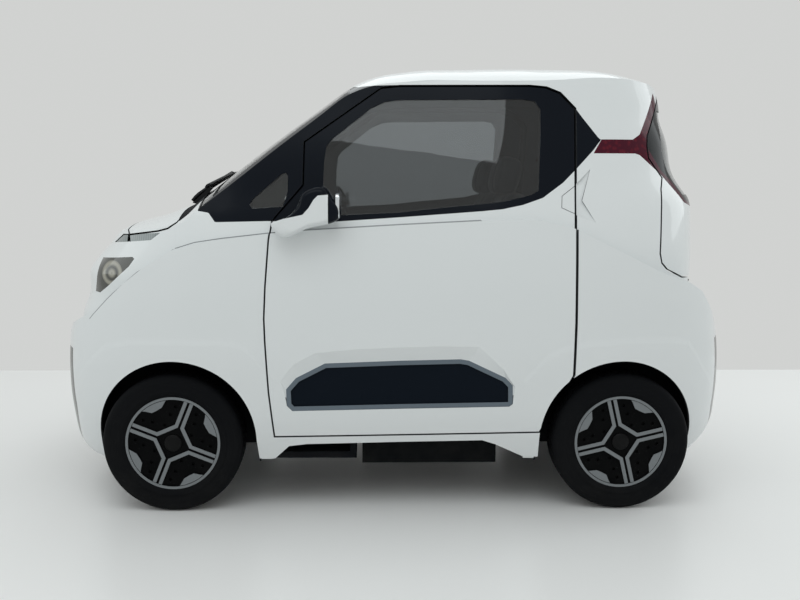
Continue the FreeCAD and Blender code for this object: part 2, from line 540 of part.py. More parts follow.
def build_floor():
    """Floor pan with firewall and boot step, and the wheel arch liners."""
    wall = size("floor_wall")
    low = size("floor_height")
    boot = size("boot_height")
    front = -size("firewall_x")
    step = size("boot_step_x")
    slope = boot / 8
    tail = HALF_LENGTH * 0.86
    top = size("dash_top") - 2 * wall
    rise = size("seat_floor_height")
    lift = -size("seat_step_x")
    path = [(front, top), (front, low), (lift, low), (lift, rise), (step - slope, rise), (step, boot), (tail, boot),
            (tail, boot + wall), (step - wall, boot + wall), (step - slope - wall, rise + wall),
            (lift - wall, rise + wall), (lift - wall, low + wall), (front + wall, low + wall), (front + wall, top)]
    points = [FreeCAD.Vector(x, SIDE_LOW, z) for x, z in path]
    pan = Part.Face(Part.makePolygon(points + points[:1])).extrude(FreeCAD.Vector(0, 2 * SIDE_HIGH, 0))
    pan = pan.common(TUB_IN.fuse(CAGE_IN))
    radius = size("liner_radius") + size("liner_wall") + size("liner_gap")
    edge = size("liner_inner_y") - size("liner_wall") - size("liner_gap")
    for x in (-AXLE_X, AXLE_X):
        for low_y, high_y in ((SIDE_LOW, -edge), (edge, SIDE_HIGH)):
            pan = pan.cut(arch(x, radius, size("liner_height"), low_y, high_y))
    door_side = size("sill_inner_y")
    front_edge = HALF_LENGTH * DOOR_SHARES[17][0]
    rear_edge = HALF_LENGTH * DOOR_SHARES[6][0] + size("door_clear")
    for low_y, high_y in ((SIDE_LOW, -door_side), (door_side, SIDE_HIGH)):
        pan = pan.cut(block((front_edge, low_y, -REACH), (rear_edge, high_y, HEIGHT)))
        pan = pan.cut(prism(SILL_SHARES, low_y, high_y))
    foot = size("seat_width") / 2.6
    for sign in (-1, 1):
        plinth = block((-size("seat_front_x") + size("seat_pad"), sign * size("seat_y") - foot, rise + wall),
                       (size("seat_length") - size("seat_front_x") - size("back_pad"),
                        sign * size("seat_y") + foot, size("seat_height") - size("seat_pad")))
        pan = pan.fuse(plinth)
    pan = largest(pan.removeSplitter())
    add("floor_pan", pan)
    liners = []
    for x in (-AXLE_X, AXLE_X):
        liners.append(build_liner(x))
    add("arch_liners", Part.makeCompound(liners + [mirrored(liner) for liner in liners]))
    return pan


def build_liner(x):
    """One arched tub around a wheel, closed on its inner side."""
    wall = size("liner_wall")
    radius = size("liner_radius")
    edge = -size("liner_inner_y")
    outer = arch(x, radius + wall, size("liner_height"), -HALF_WIDTH, edge + wall)
    inner = arch(x, radius, size("liner_height"), SIDE_LOW, edge)
    liner = outer.cut(inner)
    liner = liner.cut(block((-2 * HALF_LENGTH, SIDE_LOW, -2 * REACH), (2 * HALF_LENGTH, 0, size("floor_height"))))
    slot = size("knuckle_block")
    liner = liner.cut(block((x - slot, SIDE_LOW, 0), (x + slot, 0, size("tyre_radius") + size("kingpin_height") / 2)))
    for shares in (DOOR_SHARES, SILL_SHARES):
        liner = liner.cut(prism(shares, SIDE_LOW, -size("sill_inner_y")))
    return largest(liner.common(tub(size("fender_wall") + size("liner_gap"))))


def pad_body(label, profile, length, plane="XZ_Plane", midplane=True):
    """A body padded from one closed sketch whose corners follow the sheet."""
    body = DOC.addObject("PartDesign::Body", label)
    body.Label = label
    sketch = sketch_on(body, label + "_profile", plane, profile)
    pad = body.newObject("PartDesign::Pad", label + "_pad")
    pad.Profile = sketch
    pad.setExpression("Length", length)
    pad.Midplane = midplane
    body.Tip = pad
    PIECES[label] = body
    return body


def sketch_on(body, name, plane, profile):
    """A closed polygon sketch on one of the body's own planes."""
    sketch = body.newObject("Sketcher::SketchObject", name)
    support = [item for item in body.Origin.OriginFeatures if item.Role == plane][0]
    sketch.AttachmentSupport = [(support, "")]
    sketch.MapMode = "FlatFace"
    bound_polygon(sketch, profile)
    return sketch


def bound_polygon(sketch, profile):
    """A closed polygon in a sketch, with every corner bound to the sheet."""
    corners = []
    for across_text, up_text in profile:
        spot = (SHEET.evalExpression(across_text), SHEET.evalExpression(up_text))
        corners.append(FreeCAD.Vector(float(spot[0]), float(spot[1]), 0))
    for start, end in zip(corners, corners[1:] + corners[:1]):
        sketch.addGeometry(Part.LineSegment(start, end), False)
    count = len(corners)
    for index in range(count):
        sketch.addConstraint(Sketcher.Constraint("Coincident", index, 2, (index + 1) % count, 1))
    for index, (across_text, up_text) in enumerate(profile):
        for kind, text, amount in (("DistanceX", across_text, corners[index].x), ("DistanceY", up_text, corners[index].y)):
            number = sketch.addConstraint(Sketcher.Constraint(kind, -1, 1, index, 1, amount))
            sketch.setExpression("Constraints[%d]" % number, text)


def revolved_body(label, profile):
    """A body turned about its own Y axis from a sketch of radius and offset."""
    body = DOC.addObject("PartDesign::Body", label)
    body.Label = label
    sketch = sketch_on(body, label + "_profile", "XY_Plane", profile)
    turn = body.newObject("PartDesign::Revolution", label + "_turn")
    turn.Profile = sketch
    turn.ReferenceAxis = (sketch, ["V_Axis"])
    turn.Angle = 360
    body.Tip = turn
    PIECES[label] = body
    return body


TYRE_PROFILE = (
    ("size.rim_radius", "-size.rim_width / 2"),
    ("size.tyre_radius - size.tyre_shoulder", "-size.tyre_width / 2"),
    ("size.tyre_radius", "-size.tyre_width / 2 + size.tyre_shoulder"),
    ("size.tyre_radius", "size.tyre_width / 2 - size.tyre_shoulder"),
    ("size.tyre_radius - size.tyre_shoulder", "size.tyre_width / 2"),
    ("size.rim_radius", "size.rim_width / 2"),
)
RIM_PROFILE = (
    ("0", "-size.rim_width / 2 + size.cover_thickness"),
    ("size.rim_radius - size.rim_lip", "-size.rim_width / 2 + size.cover_thickness"),
    ("size.rim_radius - size.rim_lip", "-size.rim_width / 2"),
    ("size.rim_radius", "-size.rim_width / 2"),
    ("size.rim_radius", "size.rim_width / 2"),
    ("size.rim_radius - size.rim_lip", "size.rim_width / 2"),
    ("size.rim_radius - size.rim_lip", "-size.rim_width / 2 + size.cover_thickness + size.disc_depth"),
    ("size.hub_radius", "-size.rim_width / 2 + size.cover_thickness + size.disc_depth"),
    ("size.hub_radius", "-size.rim_width / 2 + size.hub_depth"),
    ("size.axle_radius + size.axle_play", "-size.rim_width / 2 + size.hub_depth"),
    ("size.axle_radius + size.axle_play", "-size.rim_width / 2 + size.cover_thickness + size.disc_depth"),
    ("0", "-size.rim_width / 2 + size.cover_thickness + size.disc_depth"),
)


def cover_sketch(body, name):
    """An empty sketch on the outer face of a rim."""
    sketch = body.newObject("Sketcher::SketchObject", name)
    plane = [item for item in body.Origin.OriginFeatures if item.Role == "XZ_Plane"][0]
    sketch.AttachmentSupport = [(plane, "")]
    sketch.MapMode = "FlatFace"
    sketch.setExpression("AttachmentOffset.Base.z", "size.rim_width / 2 - size.cover_thickness")
    return sketch


def quartered(body, feature):
    """Four turned copies of a cover feature, which become the body's tip."""
    pattern = body.newObject("PartDesign::PolarPattern", feature.Name + "_quarters")
    pattern.Originals = [feature]
    axis = [item for item in body.Origin.OriginFeatures if item.Role == "Y_Axis"][0]
    pattern.Axis = (axis, [""])
    pattern.Angle = 360
    pattern.Occurrences = 4
    body.Tip = pattern


def cover_rim(body):
    """Raised bands and lobes, and round vents, on the face of a rim."""
    for name, shares in (("bands", BAND_SHARES), ("lobes", LOBE_SHARES)):
        sketch = cover_sketch(body, body.Name + "_" + name)
        profile = [("size.rim_radius * %g" % along, "size.rim_radius * %g" % over) for along, over in shares]
        bound_polygon(sketch, profile)
        pad = body.newObject("PartDesign::Pad", body.Name + "_pad_" + name)
        pad.Profile = sketch
        pad.setExpression("Length", "size.cover_rise")
        body.Tip = pad
        quartered(body, pad)
    sketch = cover_sketch(body, body.Name + "_vents")
    for along, over in VENT_SHARES:
        spot = FreeCAD.Vector(along * size("rim_radius"), over * size("rim_radius"), 0)
        circle = Part.Circle(spot, FreeCAD.Vector(0, 0, 1), size("vent_radius"))
        number = sketch.addGeometry(circle, False)
        bound = sketch.addConstraint(Sketcher.Constraint("Radius", number, size("vent_radius")))
        sketch.setExpression("Constraints[%d]" % bound, "size.vent_radius")
    pocket = body.newObject("PartDesign::Pocket", body.Name + "_pocket")
    pocket.Profile = sketch
    pocket.setExpression("Length", "size.cover_thickness")
    body.Tip = pocket
    quartered(body, pocket)


def build_wheels():
    """Four tyres on four rims with covers; each rim's face looks outwards."""
    for end, x, spoke in (("front", -AXLE_X, "front_spoke_turn"), ("rear", AXLE_X, "rear_spoke_turn")):
        for side, sign in (("left", -1), ("right", 1)):
            tyre = revolved_body("tyre_%s_%s" % (end, side), TYRE_PROFILE)
            rim = revolved_body("rim_%s_%s" % (end, side), RIM_PROFILE)
            cover_rim(rim)
            spot = FreeCAD.Vector(x, sign * WHEEL_Y, size("tyre_radius"))
            turn = FreeCAD.Rotation(FreeCAD.Vector(0, 0, 1), 0 if sign < 0 else 180)
            spin = FreeCAD.Rotation(FreeCAD.Vector(0, 1, 0), -size(spoke))
            tyre.Placement = FreeCAD.Placement(spot, turn * spin)
            rim.Placement = FreeCAD.Placement(spot, turn * spin)


def build_knuckles():
    """A knuckle and stub axle for each front wheel."""
    axle_z = size("tyre_radius")
    pin_y = size("kingpin_y")
    half_block = size("knuckle_block") / 2
    stub = rod((-AXLE_X, -AXLE_END_Y, axle_z), (-AXLE_X, -pin_y, axle_z), size("axle_radius"))
    tall = size("kingpin_height") / 2
    post = rod((-AXLE_X, -pin_y, axle_z - tall / 2), (-AXLE_X, -pin_y, axle_z + tall / 2), size("kingpin_radius") * 2)
    carrier = block((-AXLE_X - half_block, -pin_y - size("knuckle_wall") / 2, axle_z - half_block),
                    (-AXLE_X + half_block, -pin_y + size("knuckle_wall") / 2, axle_z + half_block))
    knuckle = largest(stub.fuse(post).fuse(carrier).removeSplitter())
    add("knuckle_left", knuckle)
    add("knuckle_right", mirrored(knuckle))


def build_chassis(pan):
    """Front crossmember with its arms, rear beam axle, battery and motor blocks."""
    axle_z = size("tyre_radius")
    wall = size("beam_wall")
    low = size("beam_height")
    pin_y = size("kingpin_y")
    tall = size("kingpin_height") / 4
    inner = size("liner_inner_y") - size("liner_wall") - GAP
    cross = block((-AXLE_X - wall, -inner + wall, low), (-AXLE_X + wall, inner - wall, low + wall))
    rails = [block((-AXLE_X - wall, side - wall / 2, low), (-size("firewall_x"), side + wall / 2, low + wall))
             for side in (-inner / 2, inner / 2)]
    frame = cross.fuse(rails)
    for sign in (-1, 1):
        for height in (axle_z - tall - wall / 2, axle_z + tall + wall / 2):
            arm = rod((-AXLE_X, sign * inner / 2, height), (-AXLE_X, sign * pin_y, height), wall / 3)
            ball = Part.makeSphere(wall / 2.2, FreeCAD.Vector(-AXLE_X, sign * pin_y, height))
            frame = frame.fuse(arm).fuse(ball)
        post = block((-AXLE_X - wall / 2, sign * inner / 2 - wall / 2, low),
                     (-AXLE_X + wall / 2, sign * inner / 2 + wall / 2, axle_z + tall + wall))
        frame = frame.fuse(post)
    add("front_subframe", largest(frame.removeSplitter()))
    beam = rod((AXLE_X, -AXLE_END_Y, axle_z), (AXLE_X, AXLE_END_Y, axle_z), size("axle_radius"))
    for sign in (-1, 1):
        side = sign * inner * 0.9
        link_end = size("battery_x") + size("battery_length") / 2 + GAP
        link = rod((AXLE_X, side, axle_z), (link_end, side, axle_z), wall / 2)
        beam = beam.fuse(link.cut(pan))
    add("rear_axle", largest(beam.removeSplitter()))
    pad_body("battery_pack", (
        ("size.battery_x - size.battery_length / 2", "size.seat_floor_height - size.battery_height"),
        ("size.battery_x + size.battery_length / 2", "size.seat_floor_height - size.battery_height"),
        ("size.battery_x + size.battery_length / 2", "size.seat_floor_height"),
        ("size.battery_x - size.battery_length / 2", "size.seat_floor_height")), "size.battery_width")
    pad_body("drive_motor", (
        ("size.wheelbase / 2 - size.motor_length / 2", "size.motor_low"),
        ("size.wheelbase / 2 + size.motor_length / 2", "size.motor_low"),
        ("size.wheelbase / 2 + size.motor_length / 2", "size.motor_low + size.motor_height"),
        ("size.wheelbase / 2 - size.motor_length / 2", "size.motor_low + size.motor_height")), "size.motor_width")


def seat_profile():
    """Side view of a seat: cushion, back and their bolsters."""
    front = -size("seat_front_x")
    rear = front + size("seat_length")
    low = size("seat_height") - size("seat_pad")
    top = size("seat_height") + size("back_height")
    return ((front, low), (rear, low), (rear + size("back_pad"), top), (rear, top),
            (rear - size("back_pad"), size("seat_height")), (front, size("seat_height") + size("seat_round")))


def build_cabin():
    """Seats and dashboard."""
    seats = []
    points = [FreeCAD.Vector(x, 0, z) for x, z in seat_profile()]
    face = Part.Face(Part.makePolygon(points + points[:1]))
    for sign in (-1, 1):
        seat = face.extrude(FreeCAD.Vector(0, size("seat_width"), 0))
        seat.translate(FreeCAD.Vector(0, sign * size("seat_y") - size("seat_width") / 2, 0))
        seats.append(seat)
    add("seats", Part.makeCompound(seats))
    pad_body("dashboard", (
        ("-size.firewall_x + size.floor_wall", "size.dash_top - size.dash_height"),
        ("-size.firewall_x + size.floor_wall + size.dash_depth * 0.7", "size.dash_top - size.dash_height"),
        ("-size.firewall_x + size.floor_wall + size.dash_depth", "size.dash_top - size.dash_height * 0.6"),
        ("-size.firewall_x + size.floor_wall + size.dash_depth * 0.92", "size.dash_top - size.dash_height * 0.15"),
        ("-size.firewall_x + size.floor_wall + size.dash_depth * 0.6", "size.dash_top"),
        ("-size.firewall_x + size.floor_wall", "size.dash_top")), "size.dash_half_width * 2")


WHEEL_PROFILE = (
    ("size.steering_radius - size.steering_grip", "-size.steering_bevel"),
    ("size.steering_radius - size.steering_bevel", "-size.steering_grip"),
    ("size.steering_radius + size.steering_bevel", "-size.steering_grip"),
    ("size.steering_radius + size.steering_grip", "-size.steering_bevel"),
    ("size.steering_radius + size.steering_grip", "size.steering_bevel"),
    ("size.steering_radius + size.steering_bevel", "size.steering_grip"),
    ("size.steering_radius - size.steering_bevel", "size.steering_grip"),
    ("size.steering_radius - size.steering_grip", "size.steering_bevel"),
)


def build_steering():
    """Steering wheel with a bevelled rim, one cross spoke and its column."""
    body = revolved_body("steering_wheel", WHEEL_PROFILE)
    half = ("size.steering_radius", "size.spoke_width / 2")
    spoke = sketch_on(body, "spoke_profile", "XZ_Plane", (
        ("-" + half[0], "-" + half[1]), (half[0], "-" + half[1]), half, ("-" + half[0], half[1])))
    pad = body.newObject("PartDesign::Pad", "spoke_pad")
    pad.Profile = spoke
    pad.setExpression("Length", "size.spoke_wall")
    pad.Midplane = True
    column = sketch_on(body, "column_profile", "XY_Plane", (
        ("0", "0"), ("size.column_radius", "0"), ("size.column_radius", "-size.column_length"),
        ("0", "-size.column_length")))
    turn = body.newObject("PartDesign::Revolution", "column_turn")
    turn.Profile = column
    turn.ReferenceAxis = (column, ["V_Axis"])
    turn.Angle = 360
    body.Tip = turn
    rake = math.radians(size("steering_rake"))
    direction = FreeCAD.Vector(math.sin(rake), 0, math.cos(rake))
    centre = FreeCAD.Vector(-size("steering_x"), -size("seat_y"), size("steering_height"))
    lean = FreeCAD.Rotation(FreeCAD.Vector(0, 1, 0), direction, FreeCAD.Vector(0, 0, 0), "YXZ")
    body.Placement = FreeCAD.Placement(centre, lean)


build_doors()
build_sides()
build_front()
build_rear()
PAN = build_floor()
build_wheels()
build_knuckles()
build_chassis(PAN)
build_cabin()
build_steering()
DOC.recompute()

for item in DOC.Objects:
    if "Invalid" in item.State or "Error" in item.State:
        raise RuntimeError("failed object: " + item.Label)
os.makedirs("parts", exist_ok=True)
for label, item in PIECES.items():
    shape = item.Shape
    if shape.isNull() or not shape.isValid():
        raise RuntimeError("bad shape: " + label)
    print("%-22s %2d solids %9.1f cm3" % (label, len(shape.Solids), shape.Volume / 1000))
for label, item in PIECES.items():
    item.Shape.exportStep("parts/%s.step" % label)
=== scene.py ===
"""Finishes and fine pieces of a two-seat electric microcar, laid over its CAD frame."""

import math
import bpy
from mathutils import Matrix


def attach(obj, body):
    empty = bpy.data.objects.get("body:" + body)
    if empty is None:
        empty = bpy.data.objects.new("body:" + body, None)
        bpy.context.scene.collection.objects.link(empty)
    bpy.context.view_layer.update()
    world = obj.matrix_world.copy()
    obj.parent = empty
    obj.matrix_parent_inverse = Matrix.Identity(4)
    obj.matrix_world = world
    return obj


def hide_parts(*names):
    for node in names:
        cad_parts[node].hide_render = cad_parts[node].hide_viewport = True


bl_info = {
    "name": "Microcar finishes",
    "version": (1, 0, 0),
    "blender": (4, 5, 0),
    "location": "3D View > Sidebar > Microcar",
    "description": "Builds the finishes, tyres, lamps, seats and trim of a small electric car",
    "category": "Object",
}

import bmesh
import bpy
import numpy as np
from bpy.props import FloatProperty, FloatVectorProperty, IntProperty, PointerProperty
from bpy.types import Operator, Panel, PropertyGroup
from mathutils import Matrix, Vector

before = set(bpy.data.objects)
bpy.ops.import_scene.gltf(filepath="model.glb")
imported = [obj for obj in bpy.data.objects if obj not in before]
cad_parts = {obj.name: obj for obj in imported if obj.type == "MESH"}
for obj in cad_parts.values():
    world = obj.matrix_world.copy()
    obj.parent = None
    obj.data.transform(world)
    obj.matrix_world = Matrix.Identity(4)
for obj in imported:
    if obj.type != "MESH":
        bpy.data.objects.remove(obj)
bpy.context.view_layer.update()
JOIN_REACH = 1e-6

SIDES = (("left", -1), ("right", 1))
ENDS = ("front", "rear")
RIMS = ["rim_%s_%s" % (end, side) for end in ENDS for side, _ in SIDES]

# Lower and upper edges of the black film round the side windows, as places along the car and heights.
FILM_LOW = (
    (-0.702, 1.068), (-0.664, 1.062), (-0.640, 1.030), (-0.460, 1.035), (-0.242, 1.033), (0.001, 1.050),
    (0.144, 1.061), (0.286, 1.072), (0.358, 1.079), (0.430, 1.094), (0.502, 1.119), (0.575, 1.172),
    (0.627, 1.223), (0.690, 1.288), (0.720, 1.326))
FILM_HIGH = (
    (-0.702, 1.160), (-0.640, 1.210), (-0.538, 1.300), (-0.435, 1.390), (-0.331, 1.470), (-0.226, 1.530),
    (-0.174, 1.520), (-0.146, 1.507), (0.002, 1.512), (0.466, 1.517), (0.524, 1.512), (0.575, 1.493),
    (0.618, 1.449), (0.653, 1.403), (0.712, 1.330), (0.720, 1.326))
# Edges of the red legs at the tailgate's sides, below and above, and of the dark glass inside them.
LEG_LOW = ((0.852, 1.278), (0.870, 1.273), (0.964, 1.200), (1.057, 1.103), (1.137, 1.080))
LEG_HIGH = ((0.852, 1.333), (0.874, 1.348), (0.914, 1.422), (0.950, 1.500), (0.985, 1.545))
DARK_LOW = ((0.897, 1.325), (0.900, 1.307), (0.963, 1.219), (1.007, 1.182), (1.064, 1.113), (1.137, 1.090))
DARK_HIGH = ((0.897, 1.325), (0.904, 1.344), (0.965, 1.463), (0.990, 1.512))
BANDS = (("Window film", FILM_LOW, FILM_HIGH, "Film"), ("Red leg", LEG_LOW, LEG_HIGH, "Leg"),
         ("Dark glass", DARK_LOW, DARK_HIGH, "Dark"))
# The line where the shoulder of the body meets its side, and the tops of the wheel arches' flares.
SHOULDER = (
    (-1.147, 0.630), (-1.084, 0.699), (-1.021, 0.762), (-0.962, 0.816), (-0.911, 0.856), (-0.856, 0.898),
    (-0.819, 0.920), (-0.781, 0.938), (-0.711, 0.960), (-0.618, 0.975), (-0.458, 0.994), (-0.337, 1.005),
    (0.001, 1.026), (0.283, 1.041))
FRONT_FLARE = (
    (-1.160, 0.470), (-1.087, 0.548), (-1.034, 0.594), (-0.948, 0.615), (-0.776, 0.621), (-0.604, 0.620),
    (-0.553, 0.607), (-0.519, 0.583), (-0.440, 0.480))
REAR_FLARE = ((0.440, 0.480), (0.522, 0.568), (0.582, 0.597), (0.669, 0.614), (0.846, 0.625), (0.988, 0.621),
              (1.042, 0.607), (1.076, 0.564), (1.160, 0.450))
# Upper edge of the pale cap on a door mirror.
CAP_EDGE = (
    (-0.439, 1.038), (-0.378, 1.050), (-0.328, 1.061), (-0.308, 1.083), (-0.291, 1.111), (-0.277, 1.125),
    (-0.244, 1.128))
# Path of a door seal along the car, with the half width of the body's inner face at each height.
SEAL_PATH = ((0.6205, 1.020), (0.627, 1.223), (0.632, 1.437), (0.5756, 1.493), (0.524, 1.5126), (0.4657, 1.517),
             (0.0025, 1.5126), (-0.0637, 1.5045), (-0.3358, 1.3106), (-0.3383, 1.1603), (-0.4445, 1.0359))
SEAL_HEIGHTS = (1.000, 1.050, 1.107, 1.190, 1.2475, 1.3106, 1.3995, 1.485, 1.600)
SEAL_WIDTHS = (0.6897, 0.6737, 0.6569, 0.6363, 0.6218, 0.6058, 0.5837, 0.5638, 0.5417)
WHEEL_SPOTS = tuple((end, side, sign, (0.8 if end == "rear" else -0.8), sign * 0.651)
                    for end in ENDS for side, sign in SIDES)
AXLE_HEIGHT = 0.248
# Seats: how far their middles are from the car's, leans in degrees, and the feet of back and restraint.
SEAT_OFFSET = 0.295
CUSHION_LEAN, BACK_LEAN = -4, 14
BACK_FOOT, REST_FOOT = (0.245, 0.55), (0.360, 1.135)
# Steering wheel: rake in degrees and the middle of its hub.
WHEEL_RAKE = 62
HUB_PLACE = (-0.130, -SEAT_OFFSET, 0.900)
# Half widths past which a finish changes: tail lamp legs, mirror caps, cover bands and inset frames.
LEG_OFFSET, CAP_OFFSET, BAND_OFFSET, FRAME_OFFSET = 0.42, 0.745, 0.7110, 0.7438
# The place along the car where a mirror's cap ends.
CAP_END = -0.2435
# The half height of the thin line of painted shade along the shoulder crease, and how squarely a face must look
# sideways to carry it.
SHADE_LINE_HALF, SHADE_LINE_FACING = 0.0016, 0.8
# Dark insert of the bumpers: how far out it starts, and its lower and upper heights at front and rear.
INSERT_START = 1.178
INSERT_LOW, INSERT_LOW_REAR = 0.212, 0.262
INSERT_HIGH, INSERT_HIGH_REAR = 0.565, 0.602
# Headlamp: the height where its light strip starts, and the middle and reach of the lens below.
STRIP_HEIGHT = 0.925
LENS_CENTRE, LENS_REACH = (-1.02, 0.845), 0.045
# The body's plan is a superellipse of this power.
PLAN_POWER = 4.4
# Door seal: the plan's half length at its height, its depth below the skin, and its half width and thickness.
SEAL_REACH, SEAL_DEPTH, SEAL_SECTION = 1.02, 0.009, (0.013, 0.0025)
# Distance from a wheel's middle to its hub's outer face.
HUB_FACE = 0.0555
# Studio lamps: name, place, extent and power; their colour; and how much light the surround gives.
LAMPS = (
    ("key_panel", (-0.8, -3.2, 4.6), (4.5, 3.0), 62),
    ("back_panel", (0.8, 3.0, 4.4), (4.5, 3.0), 45),
    ("nose_panel_light", (-4.6, -0.6, 2.6), (2.5, 2.5), 18),
    ("tail_panel_light", (4.6, 0.4, 2.6), (2.5, 2.5), 40))
LAMP_COLOUR = (0.92, 0.98, 1.0)
SURROUND = 1.02
BLACK = (0.004, 0.005, 0.006)


# Sizes and colours that a user would change.


def colour(name, text, value):
    """A colour property with its name, description and default."""
    return FloatVectorProperty(name=name, description=text, subtype="COLOR", size=3, min=0, max=1,
                               default=value)


def length(name, text, value):
    """A length property in metres."""
    return FloatProperty(name=name, description=text, subtype="DISTANCE", unit="LENGTH", min=0, default=value)


class PaintSettings(PropertyGroup):
    body: colour("Body", "Gloss body paint", (0.715, 0.742, 0.748))
    film: colour("Film", "Gloss film round the windows", (0.004, 0.006, 0.010))
    insert: colour("Insert", "Dark insert across the bumpers", (0.085, 0.090, 0.082))
    flake: FloatProperty(name="Ripple", description="Strength of the ripple in the lacquer", min=0, max=1,
                         default=0.02)


class GlassSettings(PropertyGroup):
    tint: colour("Tint", "Tint of the side and rear glass", (0.34, 0.36, 0.37))
    screen: colour("Screen", "Tint of the windscreen", (0.72, 0.76, 0.76))
    lamp: colour("Lamp red", "Red of the tail lamps", (0.055, 0.003, 0.013))


class TyreSettings(PropertyGroup):
    radius: length("Radius", "Outer radius of a tyre", 0.248)
    width: length("Width", "Width of a tyre", 0.144)
    groove: length("Groove", "Depth of the tread grooves", 0.006)
    blocks: IntProperty(name="Blocks", description="Tread blocks round a tyre", min=12, max=120, default=60)


class CabinSettings(PropertyGroup):
    seat_width: length("Seat width", "Width of a seat cushion", 0.48)
    belt: length("Belt width", "Width of a seat belt", 0.048)


class StageSettings(PropertyGroup):
    floor: colour("Floor", "Studio floor", (0.84, 0.845, 0.84))
    wall: colour("Wall", "Studio backdrop", (0.635, 0.645, 0.635))
    light: FloatProperty(name="Light", description="Strength of the lamp panels", min=0, default=1.0)


class MicrocarSettings(PropertyGroup):
    paint: PointerProperty(type=PaintSettings)
    glass: PointerProperty(type=GlassSettings)
    tyre: PointerProperty(type=TyreSettings)
    cabin: PointerProperty(type=CabinSettings)
    stage: PointerProperty(type=StageSettings)


def settings():
    """The settings kept on the scene."""
    return bpy.context.scene.microcar_looks


# Node helpers.


def put(tree, kind, **values):
    """Adds a node; a value named after a socket feeds it, any other sets a property."""
    item = tree.nodes.new("ShaderNode" + kind)
    for name, value in values.items():
        key = name.replace("_", " ")
        if key in item.inputs:
            feed(tree, item.inputs[key], value)
        else:
            setattr(item, name, value)
    return item


def feed(tree, socket, value):
    """Links or sets one input."""
    if isinstance(value, bpy.types.NodeSocket):
        tree.links.new(value, socket)
    elif hasattr(value, "__len__") and socket.type == "RGBA" and len(value) == 3:
        socket.default_value = (*value, 1)
    else:
        socket.default_value = value


def maths(tree, operation, first, second=0.0, third=0.0):
    """One arithmetic step on numbers."""
    item = tree.nodes.new("ShaderNodeMath")
    item.operation = operation
    for socket, value in zip(item.inputs, (first, second, third)):
        feed(tree, socket, value)
    return item.outputs[0]


def times(tree, first, second):
    """The product of two numbers."""
    return maths(tree, "MULTIPLY", first, second)


def over(tree, first, second):
    """1 where the first number is above the second, else 0."""
    return maths(tree, "GREATER_THAN", first, second)


def under(tree, first, second):
    """1 where the first number is below the second, else 0."""
    return maths(tree, "LESS_THAN", first, second)


def between(tree, x, rows):
    """1 between the ends of a curve along the car, else 0."""
    return times(tree, over(tree, x, rows[0][0]), under(tree, x, rows[-1][0]))


def ramp(tree, value, start, stop, low=0.0, high=1.0, **more):
    """A value led from one range to another and held at its ends."""
    return put(tree, "MapRange", Value=value, From_Min=start, From_Max=stop, To_Min=low, To_Max=high,
               **more).outputs["Result"]


def vector(tree, operation, *sources):
    """The outputs of one step on vectors."""
    item = tree.nodes.new("ShaderNodeVectorMath")
    item.operation = operation
    for source, socket in zip(sources, item.inputs):
        tree.links.new(source, socket)
    return item.outputs


def noise(tree, place, scale, detail, **more):
    """Noise from 0 to 1 over the place."""
    return put(tree, "TexNoise", Vector=place, Scale=scale, Detail=detail, **more).outputs["Fac"]


def bumped(tree, strength, distance, height, **more):
    """The normal of a surface that a height lifts."""
    return put(tree, "Bump", Strength=strength, Distance=distance, Height=height, **more).outputs[0]


def blend_number(tree, share, first, second, kind="FLOAT"):
    """A number between two, by a mask."""
    item = tree.nodes.new("ShaderNodeMix")
    item.data_type = kind
    for label, value in (("Factor", share), ("A", first), ("B", second)):
        feed(tree, item.inputs[label], value)
    return item.outputs["Result"]


def blend_colour(tree, share, first, second):
    """A colour between two, by a mask."""
    return blend_number(tree, share, first, second, "RGBA")


def place_of(tree):
    """The place on the piece, in metres, and its three parts."""
    item = tree.nodes.new("ShaderNodeTexCoord")
    parts = put(tree, "SeparateXYZ", Vector=item.outputs["Object"])
    return item.outputs["Object"], parts.outputs["X"], parts.outputs["Y"], parts.outputs["Z"]


def new_material(name):
    """A material with its node tree and its Principled shader."""
    material = bpy.data.materials.new(name)
    material.use_nodes = True
    return material, material.node_tree, material.node_tree.nodes["Principled BSDF"]


def dress(tree, item, **values):
    """Sets or links the sockets of a node."""
    for name, value in values.items():
        feed(tree, item.inputs[name.replace("_", " ")], value)


def new_group(name, inputs, outputs):
    """An empty node group with named number, colour or vector sockets."""
    group = bpy.data.node_groups.new(name, "ShaderNodeTree")
    for label, kind, value in inputs:
        socket = group.interface.new_socket(label, in_out="INPUT", socket_type="NodeSocket" + kind)
        socket.default_value = value
    for label, kind in outputs:
        group.interface.new_socket(label, in_out="OUTPUT", socket_type="NodeSocket" + kind)
    start = group.nodes.new("NodeGroupInput")
    end = group.nodes.new("NodeGroupOutput")
    return group, start.outputs, end.inputs


def use(tree, name, **values):
    """Places a node group in a material with its own values."""
    item = tree.nodes.new("ShaderNodeGroup")
    item.node_tree = bpy.data.node_groups[name]
    dress(tree, item, **values)
    return item.outputs


def dusted(tree, shade, height, amount, dust):
    """A colour under road dust, up to a height."""
    share = use(tree, "Road dust", Height=height, Amount=amount)["Dust"]
    return blend_colour(tree, share, shade, dust)


# Mesh helpers.


def signed_root(value, power):
    """A sine or cosine raised to 2 / power with its sign kept, which turns a circle into a superellipse."""
    return np.sign(value) * np.abs(value) ** (2 / power)


def grid_faces(rows, columns, wrap_rows=False, wrap_columns=False):
    """Quads between neighbouring points of a grid, going round where it wraps."""
    row = np.arange(rows if wrap_rows else rows - 1)
    column = np.arange(columns if wrap_columns else columns - 1)
    first, second = np.meshgrid(row, column, indexing="ij")
    next_row, next_column = (first + 1) % rows, (second + 1) % columns
    quads = np.stack([first * columns + second, first * columns + next_column,
                      next_row * columns + next_column, next_row * columns + second], axis=-1)
    return quads.reshape(-1, 4)


